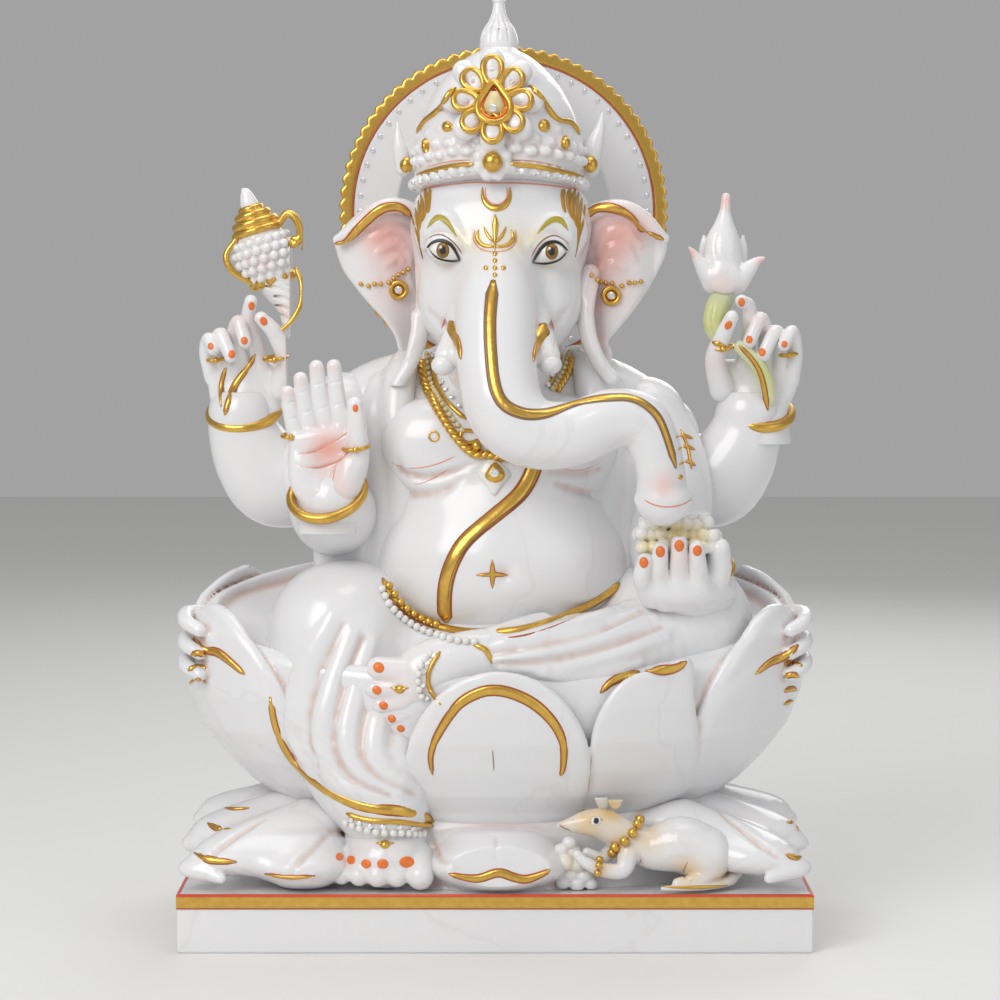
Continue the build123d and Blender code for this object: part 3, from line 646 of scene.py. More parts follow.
def makeTorso():
    clay = Clay((-140, -104, 165), (142, 84, 392), 1.5)
    clay.ball((4, 4, 240), (90, 82, 66), 4)
    clay.ball((4, 6, 300), (80, 60, 56), 26)
    clay.ball((0, 24, 290), (86, 52, 88), 20)
    for side in (-1, 1):
        clay.ball((3 + side * 38, -30, 318), (40, 26, 32), 14)
        clay.limb([(side * 20, 14, 352, 30), (side * 70, 14, 344, 30), (side * 108, 14, 322, 28)], 14)
    clay.limb([(3, 0, 345, 40), (3, 0, 385, 38)], 14)
    # soft folds under the chest, and the navel's dimple
    clay.groove([(-64.2, 303.8), (-61.6, 297.1), (-47, 293.8), (-29.8, 297.1), (-15.2, 303.8)], 3.0, 2.6,
                3)
    clay.groove([(-62.9, 287.9), (-55, 282.6), (-36.4, 285.2), (-21.9, 293.8)], 2.6, 2.0, 3)
    clay.groove([(35.1, 298.5), (56.3, 296.5), (72.2, 299.8)], 2.6, 2.0, 3)
    clay.groove([(40.4, 290.5), (56.3, 285.2), (72.2, 281.9)], 2.6, 2.0, 3)
    clay.ball(at(5.3, 228.9, -84), (8, 9, 6.5), 7, cut=True)
    return carved(clay, "torso", ["torso", "shawl_left", "shawl_right"],
                  [(-62.9, 291.8, -50, 10, softPink, 0.3)])


def makeShawls():
    clay = Clay((-140, -64, 196), (142, 88, 390), 1.5)
    for side in (-1, 1):
        for k in range(5):
            # rolled folds over the shoulder that fall down the side of the body
            out, back = 62 + k * 13, 4 + k * 5
            clay.limb([(side * (out - 18), back + 40, 330, 12),
                       (side * (out - 10), back + 20, 368 - k * 7, 12),
                       (side * out, back - 16, 362 - k * 10, 11),
                       (side * (out + 2), back - 32, 330 - k * 10, 11),
                       (side * (out - 2), back - 34, 290 - k * 6, 10),
                       (side * (out - 4), back - 34, 240, 10),
                       (side * (out - 4), back - 30, 212, 9)], 5)
        clay.limb([(side * 70, 40, 350, 22), (side * 92, 40, 320, 26), (side * 96, 40, 270, 24),
                   (side * 90, 44, 214, 22)], 10)
    return carved(clay, "shoulderShawl", [], [])


def makeLegs():
    clay = Clay((-160, -118, 36), (176, 60, 260), 1.5)
    # the folded left leg: thigh out to the knee, shin back across to the ankle
    clay.limb([(60, 10, 190, 44), (100, -12, 202, 40), (128, -22, 201, 40)], 6)
    clay.limb([(128, -30, 196, 36), (90, -58, 186, 30), (40, -78, 186, 24), (6, -84, 185, 19)], 14)
    # the hanging right leg
    clay.limb([(-50, 10, 190, 46), (-88, -20, 194, 46), (-101, -34, 192, 46)], 6)
    clay.limb([(-101, -38, 196, 44), (-100, -46, 160, 45), (-86, -62, 120, 42), (-72, -78, 88, 30)], 12)
    # the lap between them
    clay.ball((0, -14, 180), (90, 66, 34), 18)
    for line, radius, height in (
            ([(-94.7, 189.8), (-108, 155.4), (-115.9, 122.3), (-107.3, 93.1), (-80.1, 79.9)], 6, 2.6),
            ([(-81.5, 185.9), (-93.4, 150.1), (-99.3, 119.6), (-89.4, 96.5), (-64.2, 82.5)], 6, 2.8),
            ([(-66.9, 152.8), (-78.8, 126.3), (-78.8, 105.1), (-64.2, 89.8), (-43.1, 81.2)], 5.5, 2.8),
            ([(-108, 202.4), (-126.5, 164.7), (-135.8, 131.6), (-129.2, 106.4)], 6, 2.2),
            ([(-60.3, 127.6), (-64.2, 111.7), (-57.6, 99.8), (-41.7, 91.8)], 4.5, 2.4),
            ([(-61.6, 118.3), (-52.3, 109), (-39.1, 103.7)], 4, 2.0),
            ([(-11.3, 179.2), (16.6, 185.9), (53, 195.1), (88.1, 209.7)], 4.5, 2.4),
            ([(-2, 172.6), (33.1, 177.3), (69.5, 185.9), (106, 200.4)], 4.5, 2.6),
            ([(4.6, 167.3), (39.7, 167.3), (76.2, 175.3), (114.6, 188.5)], 4.5, 2.6),
            ([(29.8, 162), (62.9, 162), (96, 170)], 4.5, 2.4),
            ([(-16.6, 184.5), (9.9, 193.8), (43.1, 204.4)], 4, 1.8)):
        clay.fold(line, radius, height, 6)
    for line in ([(-88.1, 187.2), (-101.3, 152.8), (-108, 119.6), (-98, 94.5), (-70.9, 81.2)],
                 [(-72.2, 167.3), (-86.1, 136.9), (-88.8, 109), (-76.2, 92.5), (-53, 81.9)],
                 [(-101.3, 195.8), (-117.9, 159.4), (-125.8, 126.3), (-118.6, 99.8)],
                 [(-6, 175.9), (24.5, 181.2), (62.9, 190.5), (97.4, 205.1)],
                 [(2, 169.3), (36.4, 172), (73.5, 180.6), (110.6, 194.5)]):
        clay.groove(line, 2.4, 1.2, 3.5)
    return carved(clay, "dhoti", ["leg_right", "leg_left"], [])


def makeRearArms():
    for side, name in ((-1, "right"), (1, "left")):
        clay = Clay((side * 138 - 68, -20, 230), (side * 138 + 68, 70, 350), 1.4)
        clay.limb([(side * 92, 30, 318, 26), (side * 122, 30, 296, 30), (side * 146, 28, 290, 31),
                   (side * 160, 26, 304, 28), (side * 168, 24, 322, 24), (side * 170, 22, 336, 22)], 5)
        carved(clay, "rearArm." + name, ["arm_rear_" + name], [])


def makeFrontArms():
    clay = Clay((-150, -78, 226), (-60, 48, 372), 1.3)
    clay.limb([(-100, 8, 336, 28), (-110, 2, 300, 30), (-106, -14, 276, 30), (-104, -30, 274, 27),
               (-106, -48, 282, 24)], 8)
    carved(clay, "frontArm.right", ["arm_front_right"], [])
    clay = Clay((62, -82, 204), (150, 48, 372), 1.3)
    clay.limb([(100, 8, 334, 27), (114, 2, 296, 29), (114, -14, 264, 29), (116, -38, 240, 25),
               (118, -54, 232, 20)], 8)
    carved(clay, "frontArm.left", ["arm_front_left"], [])


makeHead()
makeTuskEnds()
makeEars()
makeTorso()
makeShawls()
makeLegs()
makeRearArms()
makeFrontArms()


# The lotus bowl, its petals, the apron of petals and the plinth
bowl = {
    "halfWidth": 203,
    "halfDepth": 108,
    "heights": [76, 84, 96, 112, 132, 155, 175, 195, 215, 240],
    "shares": [0.66, 0.695, 0.78, 0.86, 0.935, 0.98, 0.995, 0.995, 0.96, 0.86],
    "frontTop": 180,
    "slope": 0.36,
}
mound = {
    "low": 36,
    "high": 86,
    "wide": 184,
    "deep": 104,
    "narrow": 138,
    "shallow": 78,
}


def bowlDistance(axes, grow=0.0):
    x, y, z = axes
    share = np.interp(z.ravel(), bowl["heights"], bowl["shares"]).reshape(z.shape).astype(np.float32)
    a, b = bowl["halfWidth"] * share, bowl["halfDepth"] * share
    rho = np.sqrt((x / a)**2 + (y / b)**2) + 1e-4
    slope = np.sqrt(x**2 / a**4 + y**2 / b**4) / rho + 1e-5
    return (rho - 1) / slope - grow


def smoothMax(a, b, k):
    h = np.maximum(k - np.abs(a - b), 0) / k
    return np.maximum(a, b) + h * h * k * 0.25


def seenPetal(clay, outline, grow, thickness, tipCurl=(0, 0, 0)):
    # a petal of the bowl with this outline as seen from the front
    loop = closedPath(outline, 6)
    loop = np.array([at(u, v, -bowl["halfDepth"] * 0.8) for u, v in loop])[:, [0, 2]]
    low, high = loop.min(0), loop.max(0)
    spans, axes = clay.window((low[0] - 8, -125, low[1] - 8), (high[0] + 8, 10, high[1] + 8))
    flat = outlineDistance(axes[0][:, 0, :], axes[2][0, :, :], loop)[:, None, :]
    rise = np.clip((axes[2] - tipCurl[0]) / 30, 0, 1)**2 * tipCurl[1]
    across = np.abs(bowlDistance(axes, grow) - rise) - thickness
    clay.join(spans, smoothMax(flat, across, 5).astype(np.float32), 1.5)


def ringPetal(clay, angle, halfAngle, top, grow, thickness):
    # a petal round the side or back, by its angle from the front
    spans, axes = clay.window((-215, -125, 76), (215, 125, top + 8))
    x, y, z = axes
    turn = np.degrees(np.arctan2(x / bowl["halfWidth"], -y / bowl["halfDepth"]))
    offset = np.abs((turn - angle + 180) % 360 - 180)
    rise = np.clip((z - 80) / (top - 80), 0, 1)
    half = halfAngle * np.sqrt(np.clip(1 - rise**2.6, 0,
                                       1)) * (0.72 + 0.28 * np.sin(rise * math.pi * 0.75))
    side = (offset - half) * 2.4
    across = np.abs(bowlDistance(axes, grow)) - thickness
    clay.join(spans, smoothMax(side, across, 6).astype(np.float32), 1.5)


def makeLotusBowl():
    clay = Clay((-214, -124, 72), (214, 124, 246), 1.7)
    spans, axes = clay.window((-212, -122, 74), (212, 122, 244))
    body = bowlDistance(axes, -3)
    top = axes[2] - (bowl["frontTop"] - 6 + bowl["slope"] * (axes[1] + 105))
    foot = 80 - axes[2]
    solid = smoothMax(smoothMax(body, top, 10), foot, 3)
    clay.join(spans, solid.astype(np.float32), 1)
    hollow = smoothMax(bowlDistance(axes, -13), 172 + 0.30 * (axes[1] + 105) - axes[2], 8)
    clay.carve(spans, hollow.astype(np.float32), 6)
    for angle, half, height in ((68, 30, 214), (112, 32, 232), (150, 30, 238), (180, 26, 236),
                                (210, 30, 238),
                                (248, 32, 232), (292, 30, 214)):
        ringPetal(clay, angle, half, height, 1.0, 3.6)
    for angle in (90, 131, 165, 195, 229, 270):
        ringPetal(clay, angle, 24, 196, -2.5, 3.6)
    # right side, seen from the front: the broad petal whose lip turns over, then its neighbour
    seenPetal(clay, [(61.6, 106.4), (66.9, 136.2), (84.1, 160.7), (109.3, 169.3), (130.5, 173.9),
                     (133.8, 146.1), (137.1, 113), (131.8, 76.6),
                     (96, 65.3), (59.6, 66.7)], 3.0, 3.4, (168, 7))
    seenPetal(clay, [(150.3, 146.1), (167.6, 162), (187.4, 172.6), (206, 185.9), (210, 146.1),
                     (195.4, 113), (162.3, 79.9), (135.8, 72),
                     (138.4, 113)], 2.2, 3.2, (182, 6))
    seenPetal(clay, [(-203.3, 189.8), (-184.8, 177.9), (-164.9, 162), (-147.7, 143.5), (-135.8, 106.4),
                     (-122.5, 72), (-149, 79.9), (-185.5, 116.3),
                     (-204.7, 152.8)], 2.2, 3.2, (182, 6))
    # the broad front petal
    seenPetal(clay, [(-60.3, 99.8), (-56.3, 122.9), (-44.4, 144.8), (-26.5, 160.7), (-2, 168.7),
                     (23.2, 164.7), (44.4, 150.1), (58.9, 127.6),
                     (64.2, 103.1), (61.6, 79.9), (51, 62.7), (3.3, 57.4), (-47, 62.7), (-57.6, 79.9)],
              5.5, 3.6, (160, 4))
    # the small curled tips at each side
    for side in (-1, 1):
        x, y = side * 200, -30
        for z in (203, 188, 174):
            clay.limb([(x - side * 10, y + 18, z + 3, 4.5), (x + side * 2, y + 4, z + 4, 5),
                       (x + side * 1.5, y - 12, z, 5), (x - side * 8, y - 20, z - 5, 4.5)], 3)
    return carved(clay, "lotusBowl", ["lotus_bowl"], [(96, 79.9, -100, 34, (0.80, 0.66, 0.52), 0.35)],
                  smooth=2)


def makeApron():
    clay = Clay((-212, -120, 34), (212, 120, 104), 1.6)
    spans, axes = clay.window((-205, -118, 35), (205, 118, 100))
    x, y, z = axes
    # the mound under the petals, which narrows as it rises
    low, high, wide, deep, narrow, shallow = (mound[k] for k in ("low", "high", "wide", "deep", "narrow",
            "shallow"))
    t = np.clip((z - low) / (high - low), 0, 1)
    a, b = wide + (narrow - wide) * t**0.45, deep + (shallow - deep) * t**0.45
    rho = np.sqrt((x / a)**2 + (y / b)**2) + 1e-4
    d = (rho - 1) / (np.sqrt(x**2 / a**4 + y**2 / b**4) / rho + 1e-5) * 0.7
    d = smoothMax(smoothMax(d, z - high, 3), low - z + 0.6, 1)
    clay.join(spans, d.astype(np.float32), 1)
    # petals that fall outwards over the plinth, thick in the middle, with a rolled tip
    for side in (-1, 1):
        for start, middle, tip, width in (((110, -58, 80), (160, -86, 60), (193, -99, 49), 25),
                                          ((120, -20, 82), (168, -42, 66), (196, -50, 56), 24),
                                          ((120, 20, 82), (168, 8, 70), (194, 6, 62), 24),
                                          ((110, 55, 80), (160, 60, 62), (192, 84, 46), 26)):
            pts = [(side * p[0], p[1], p[2]) for p in (start, middle, tip)]
            clay.limb([(*pts[0], width * 0.8), (*pts[1], width), (*pts[2], width * 0.34)], 5,
                      flat=((side * -0.35, 0, 1), 0.28))
            clay.limb([(pts[2][0] - side * 20, pts[2][1] - 14, pts[2][2] - 2, 3),
                       (pts[2][0], pts[2][1] - 4, pts[2][2] + 2, 4.6),
                       (pts[2][0] + side * 2, pts[2][1] + 8, pts[2][2] + 1, 4),
                       (pts[2][0] - side * 14, pts[2][1] + 18, pts[2][2] + 4, 3)], 4)
    for x0, wide, y1 in ((-122, 30, -106), (2, 44, -108), (-110, 40, 108), (0, 46, 108), (110, 40, 108)):
        s = 1 if y1 > 0 else -1
        clay.limb([(x0, s * 70, 62, wide * 0.9), (x0, s * 92, 48, wide),
                   (x0, y1 - s * 6, 41.5, wide * 0.55)], 6, flat=((0, -0.3 * s, 1), 0.2))
    clay.groove([(0.7, 54.7), (0.7, 34.9)], 1.0, 0.7, 1)
    clay.groove([(-154.3, 65.3), (-175.5, 52.1), (-191.4, 38.8)], 2.0, 1.0, 2)
    clay.groove([(-109.3, 56.7), (-129.2, 38.8), (-135.8, 28.2)], 2.0, 0.9, 2)
    clay.groove([(146.4, 74.6), (168.9, 54.7), (190.1, 38.8)], 2.0, 1.0, 2)
    clay.groove([(-43.1, 54.7), (-36.4, 38.8), (-16.6, 26.9)], 2.0, 0.9, 2)
    return carved(clay, "petalApron", ["petal_apron"], [], smooth=2)


def makePlinth():
    work = bmesh.new()
    bmesh.ops.create_cube(work, size=1)
    for vert in work.verts:
        vert.co = Vector((vert.co.x * 0.402, vert.co.y * 0.230, (vert.co.z + 0.5) * 0.037))
    bmesh.ops.bevel(work, geom=work.edges[:], offset=0.0012, segments=3, affect="EDGES", profile=0.5)
    data = bpy.data.meshes.new("plinthStone")
    work.to_mesh(data)
    work.free()
    piece = finishPiece("plinthStone", data, marble)
    data.polygons.foreach_set("use_smooth", [False] * len(data.polygons))
    paintTintsAndShade(data, [])
    settle(piece, ["plinth"])
    stones["plinth"] = piece


def makeFeet():
    clay = Clay((-118, -120, 36), (-24, -40, 96), 0.9)
    x, y, z = -72, -90, 60
    clay.limb([(x + 2, y + 30, z + 22, 25), (x + 2, y + 18, z + 8, 27), (x + 2, y + 2, z - 4, 24)], 8,
              flat=((0, 0, 1), 0.8))
    for dx, size, reach in ((24, 9.4, 0), (9.5, 7.4, -1), (-2.5, 7.2, -2), (-14, 6.8, 0), (-25, 6.4, 3)):
        clay.limb([(x + dx * 0.95, y + 4, z - 4, size + 0.5), (x + dx, y - 10 + reach, z - 10, size),
                   (x + dx * 1.02, y - 15 + reach, z - 12.5, size * 0.93)], 3.2)
    carved(clay, "rightFoot", [], [(-79.5, 46.8, -100, 30, softPink, 0.12)])
    clay = Clay((-98, -116, 128), (20, -56, 214), 0.9)
    clay.limb([(10, -86, 186, 19), (-16, -86, 183, 19), (-38, -86, 176, 21), (-50, -86, 168, 20)], 8,
              flat=((0, 1, 0), 0.8))
    for tip, base, size in (((-77.5, 166.7, -92), (-59.6, 164.7, -92), 7.6),
                            ((-80.1, 152.8, -92), (-61.6, 154.1, -92), 6.4),
                            ((-76.2, 142.2, -91), (-60.3, 144.8, -92), 6.0),
                            ((-70.2, 132.9, -90), (-56.3, 136.9, -91), 5.5),
                            ((-63.6, 126.3, -89), (-52.3, 130.2, -90), 5.0)):
        clay.limb([(*at(*base), size + 1.2), (*at(*tip), size)], 2.6, steps=4)
    carved(clay, "leftFoot", [], [(-62.9, 152.8, -95, 30, softPink, 0.15)])


makeLotusBowl()
makeApron()
makePlinth()
makeFeet()


# The crown, its flower and the finial
crown = {
    "centreY": -3,
    "levels": [(486, 55), (500, 56), (514, 54), (528, 46), (540, 37), (551, 27), (562, 18), (569, 13)],
    "boss": (-1.7, 502.5),
    "flowerCentre": (-1.7, 542.9),
    "flowerBottom": 514,
    "flowerLean": 0.45,
}


def flowerDepth(v):
    return -67 + (v - crown["flowerBottom"]) * crown["flowerLean"]


def rods(*points):
    # (u, v, depth, radius) to (x, y, z, radius)
    return [(*at(u, v, y), r) for u, v, y, r in points]


def crownRing(z, rise=0.0, grow=0.0, count=48, squash=1.0):
    # points round the crown at height z, lifted by rise at the front
    wide = float(np.interp(z, [p[0] for p in crown["levels"]], [p[1] for p in crown["levels"]])) + grow
    out = []
    for i in range(count):
        turn = 2 * math.pi * i / count
        front = max(0.0, math.cos(turn))
        out.append((2.6 + wide * math.sin(turn), crown["centreY"] - wide * squash * math.cos(turn),
                    z + rise * front**1.5))
    return out


def flowerPetals():
    # the eight petals as closed loops in u, v, from the top one round
    centre = crown["flowerCentre"]
    petals = []
    for i in range(8):
        turn = math.radians(45 * i)
        away = 18.8 if i == 0 else 17.6
        long, wide = (9.0, 7.2) if i % 4 == 0 else (8.0, 7.0)
        loop = []
        for k in range(14):
            a = 2 * math.pi * k / 14
            along, across = away + long * math.cos(a), wide * math.sin(a) * (0.86 + 0.2 * math.cos(a))
            loop.append((centre[0] + along * math.sin(turn) + across * math.cos(turn),
                         centre[1] + along * math.cos(turn) * 1.02 - across * math.sin(turn)))
        petals.append(loop)
    return petals


def makeCrown():
    clay = Clay((-76, -72, 476), (82, 58, 576), 0.9)
    clay.limb([(2.6, crown["centreY"], z, r) for z, r in crown["levels"]], 2, steps=2)
    spans, axes = clay.window((-76, -72, 476), (82, 58, 500))
    rise = 10 * np.clip(-(axes[1] + 10) / 45, 0, 1)
    below = axes[2] - (482 + rise)
    clay.carve(spans, np.broadcast_to(below, clay.field[spans].shape).astype(np.float32), 1)
    # the beaded edge, a plain band above it, and six rows of carved lace
    for x, y, z in crownRing(487, 10, 0.8, 46):
        clay.ball((x, y, z), (4.2, 3.4, 4.0), 1.0)
    for row, (z, grow, count, size) in enumerate(((500, -0.6, 34, 5.0), (508, -1.8, 30, 5.4),
                                                  (517, -2.6, 24, 5.6), (527, -2.6, 20, 5.4),
                                                  (537, -2.2, 15, 5.0), (547, -1.6, 11, 4.4))):
        ring = crownRing(z, 8 - row, grow, count)
        for k, (x, y, height) in enumerate(ring):
            lift = 1.0 if (k + row) % 2 else 0.0
            clay.ball((x, y, height + lift), (size, size * 0.7, size * 0.7), 1.4)
            clay.ball((x * 1.002, y - 0.3 if y < 0 else y + 0.3, height + lift - 1.4),
                      (size * 0.42, size * 0.7, size * 0.34), 0.7)
    # the rosette behind the boss
    u, v = crown["boss"]
    for i in range(8):
        turn = 2 * math.pi * (i + 0.5) / 8
        clay.ball(at(u + 9 * math.sin(turn), v + 8.4 * math.cos(turn), -60), (4.6, 3.6, 4.6), 1.2)
    clay.ball(at(u, v, -60), (9, 3.6, 9), 1.5)
    # the flower's plate and the petal floors
    u, v = crown["flowerCentre"]
    for reach, deep in ((12, 2.6), (21, 3.4), (26, 3.6)):
        for i in range(8):
            turn = math.radians(45 * i)
            a, b = u + reach * math.sin(turn), v + reach * math.cos(turn)
            clay.ball(at(a, b, flowerDepth(b) + 3.4), (8, deep + 2, 8), 2)
    # knobs and upright leaves at each side
    for u, v, r in ((-25.5, 554.1, 5.2), (31.1, 553, 5.8), (-31.8, 548.8, 4.2), (37.8, 547.5, 4.4)):
        clay.ball(at(u, v, -8), (r, r, r), 2)
    clay.limb(rods((-60.3, 498.5, -4, 5.6), (-62.3, 510.4, -6, 5.0), (-63.6, 519.7, -7, 3.0),
                   (-64, 528.3, -8, 0.8)), 2)
    clay.limb(rods((62.9, 498.5, -4, 6.0), (65.6, 513.1, -6, 5.8), (68.9, 523.7, -7, 3.4),
                   (70.9, 534.6, -8, 0.8)), 2)
    carved(clay, "crown", ["crown"], [(-43.1, 517, -50, 16, softPink, 0.12),
                                      (43.1, 517, -50, 16, softPink, 0.12)])
    clay = Clay((-16, -12, 562), (22, 28, 611), 0.7)
    x, y = 2.6, 8
    clay.limb([(x, y, 572, 10.5), (x, y, 577, 12.6), (x, y, 583, 12.4), (x, y, 590, 8.6),
               (x, y, 596, 6.2), (x, y, 601, 4.6),
               (x, y, 605.5, 3.9)], 1)
    spans, axes = clay.window((-16, -12, 560), (22, 28, 572))
    clay.carve(spans, np.broadcast_to(axes[2] - 568.8, clay.field[spans].shape).astype(np.float32), 1)
    clay.limb([(x + 3.9 * math.cos(a), y + 3.9 * math.sin(a), 608.4, 0.8) for a in np.linspace(0, 6.28,
            13)], 1)
    for i in range(12):
        turn = 2 * math.pi * i / 12
        line = [(x + r * math.cos(turn), y + r * math.sin(turn), z, 0.5) for z,
                r in ((572, 12), (579, 13.6), (586, 11.6), (593, 7.6), (600, 5.2))]
        clay.limb(line, 0.9, cut=True)
    carved(clay, "finial", ["crown_finial"])


halo = {
    "centre": (5.8, 471.5),
    "inner": 71.5,
    "edge": 102.5,
    "outer": 110.4,
    "scallops": 78,
    "scallopHeight": 2.2,
    "front": 56.5,
    "back": 66.5,
    "stoneCircle": 97.6,
    "stones": 58,
}


def makeHalo():
    cx, cz = halo["centre"]
    middle, half = (halo["front"] + halo["back"]) / 2, (halo["back"] - halo["front"]) / 2
    for name, node, low, high, material, slot in (
            ("haloRing", "halo_ring", halo["inner"], halo["edge"], marble, "marble"),
            ("haloRim", "halo_rim", halo["edge"] - 0.6, halo["outer"], gold, "gilding")):
        clay = Clay((cx - 116, halo["front"] - 4, cz - 116), (cx + 116, halo["back"] + 4, cz + 116), 0.8)
        spans, axes = clay.window((cx - 116, halo["front"] - 4, cz - 116),
                                  (cx + 116, halo["back"] + 4, cz + 116))
        x, y, z = axes[0] - cx, axes[1] - middle, axes[2] - cz
        radial = np.sqrt(x * x + z * z)
        turn = np.arctan2(x, z)
        outside = high + (halo["scallopHeight"] * (np.abs(np.cos(turn * halo["scallops"] / 2)) - 0.45)
                          if node == "halo_rim" else 0)
        flat = np.maximum(radial - outside, low - radial)
        thick = half + (0.4 if node == "halo_rim" else 0.0)
        clay.join(spans, smoothMax(flat, np.abs(y) - thick, 2.0).astype(np.float32), 0)
        carved(clay, name, [node], [], material=material)


hands = {
    "step": 0.7,
    "palmPink": 0.75,
}


def makeRaisedHand():
    clay = Clay((-146, -84, 262), (-68, -36, 396), hands["step"])
    y = -58
    palm = [(-133.8, 322.3), (-123.2, 325.6), (-111.9, 328.3), (-102, 331.6), (-95.4, 321), (-86.8, 313),
            (-85.4, 298.5), (-92.1, 283.9),
            (-102.7, 274.6), (-118.6, 273.3), (-129.2, 281.2), (-135.1, 295.8), (-137.1, 311.7)]
    clay.plate(palm, y, 7.5, edge=8, blend=3)
    clay.limb(rods((-111.9, 252.1, y + 4, 19), (-111.3, 268, y + 3, 18.5), (-111.3, 282.6, y + 2, 18)), 8,
              flat=((0, 1, 0), 0.78))
    for base, bend, tip, size in (((-131.8, 319.7), (-135.8, 339.5), (-137.4, 350.8), 5.0),
                                  ((-121.9, 323.6), (-126.5, 344.8), (-128.8, 359.7), 5.3),
                                  ((-111.3, 326.3), (-115.9, 347.5), (-118.2, 367.4), 5.5),
                                  ((-102, 328.9), (-104.6, 348.8), (-106.6, 368), 5.4)):
        clay.limb(rods((*base, y, size + 0.5), (*bend, y - 1, size), (*tip, y - 3, size * 0.86)), 1.6)
    clay.limb(rods((-99.3, 289.2, y - 3, 9), (-91.4, 306.4, y - 5, 7.6), (-91.4, 325, y - 7, 6.4),
                   (-92.7, 342.8, y - 8, 5.2)), 4)
    clay.ball(at(-100, 293.2, -64), (9.5, 7, 14), 5)
    clay.ball(at(-127.2, 297.1, -62), (9, 6, 15), 5)
    clay.ball(at(-114.6, 319.7, -63), (19, 4, 6), 4)
    clay.ball(at(-111.9, 299.8, -72), (9, 7, 12), 5, cut=True)
    for line in ([(-131.1, 310.4), (-119.2, 312.4), (-104, 320.3), (-98.7, 324.3)],
                 [(-133.1, 303.1), (-118.6, 301.1), (-102.7, 306.4), (-96, 313.7)],
                 [(-104.6, 278.6), (-108.6, 290.5), (-106, 302.4), (-96, 313.7)]):
        clay.groove(line, 0.9, 0.7, 0.8)
    for line in ([(-136.4, 332.9), (-131.1, 334.2)], [(-127.2, 336.9), (-121.9, 338.9)],
                 [(-117.2, 339.5), (-111.3, 341.5)], [(-107.3, 342.2), (-100.7, 343.5)],
                 [(-137.8, 343.5), (-132.5, 344.8)], [(-129.8, 350.1), (-124.5, 351.5)],
                 [(-119.9, 355.4), (-114.6, 356.8)], [(-109.3, 356.8), (-102.7, 358.1)]):
        clay.groove(line, 0.7, 0.5, 0.6, taper=False)
    carved(clay, "raisedHand", ["hand_front_right"],
           [(-110.6, 313, -66, 17, pink, hands["palmPink"]), (-104, 287.9, -66, 14, pink, 0.3),
            (-109.3, 278.6, -66, 12, pink, 0.28),
            (-137.1, 350.1, -64, 6, softPink, 0.3), (-129.2, 358.1, -64, 6, softPink, 0.3),
            (-118.6, 366, -64, 6, softPink, 0.3),
            (-107.3, 366.7, -64, 6, softPink, 0.3)])


def makeRearHands():
    for name, node, palm, wrist, fingers, thumb in (
            ("rearHand.right", "hand_rear_right",
             [(-190.1, 360.7), (-186.1, 368.7), (-168.9, 372.6), (-151.7, 371.3), (-139.1, 364.7),
              (-139.1, 350.1), (-144.4, 335.6), (-154.3, 328.9), (-175.5, 328.9), (-186.8, 339.5)],
             [(-165.6, 314.4), (-165.6, 328.9), (-164.9, 342.2)],
             (((-186.8, 360.7), (-190.8, 376.6), (-189.4, 385.9), (-186.4, 379.3), 4.6),
              ((-177.5, 364.7), (-182.8, 379.3), (-181.5, 388.9), (-174.9, 374.6), 4.9),
              ((-166.9, 368.7), (-172.2, 385.9), (-169.6, 397.2), (-165.3, 383.9), 4.9),
              ((-154.3, 367.4), (-159, 385.9), (-162.9, 401.1), (-161.3, 411.1), 4.8)),
             ((-141.7, 352.8), (-138.4, 372.6), (-145.7, 389.9), (-154.7, 399.8))),
            ("rearHand.left", "hand_rear_left",
             [(143.1, 363.4), (146.4, 371.3), (162.3, 372.6), (179.5, 371.3), (198.7, 367.4),
              (200, 354.1), (192.7, 339.5), (182.1, 328.9), (160.9, 331.6), (150.3, 344.8)],
             [(173.5, 314.4), (173.5, 328.9), (171.5, 342.2)],
             (((196.1, 359.4), (198.7, 376.6), (196.4, 390.5), (191.1, 381.9), 4.6),
              ((187.4, 364.7), (188.8, 379.3), (185.5, 390.5), (177.5, 375.3), 4.9),
              ((178.2, 367.4), (179.5, 385.9), (175.5, 399.1), (168.2, 383.9), 4.9),
              ((164.3, 366), (167.6, 385.9), (168.2, 405.8), (162.9, 411.1), 4.8)),
             ((150.3, 352.8), (145.7, 372.6), (151, 388.5), (156.6, 400.5)))):
        side = -1 if "right" in name else 1
        clay = Clay((side * 173 - 34, -14, 316), (side * 173 + 34, 52, 424), hands["step"])
        clay.plate(palm, 22, 8, edge=8, blend=3)
        clay.limb(rods(*[(*w, 24, r) for w, r in zip(wrist, (23.5, 21, 16))]), 8)
        for base, rise, top, tip, size in fingers:
            points = [(base, 20, size + 1.2), (rise, 15, size + 0.5), (top, 7, size),
                      (tip, 1, size * 0.9)]
            clay.limb([(*at(*p, y), r) for p, y, r in points], 1.4)
        points = [(p, y, r) for p, y, r in zip(thumb, (16, 8, 3, -1), (8.4, 6.8, 5.6, 4.5))]
        clay.limb([(*at(*p, y), r) for p, y, r in points], 3)
        carved(clay, name, [node], [(*thumb[1], 8, 14, softPink, 0.3),
                                    (*fingers[2][2], 6, 16, softPink, 0.22)])


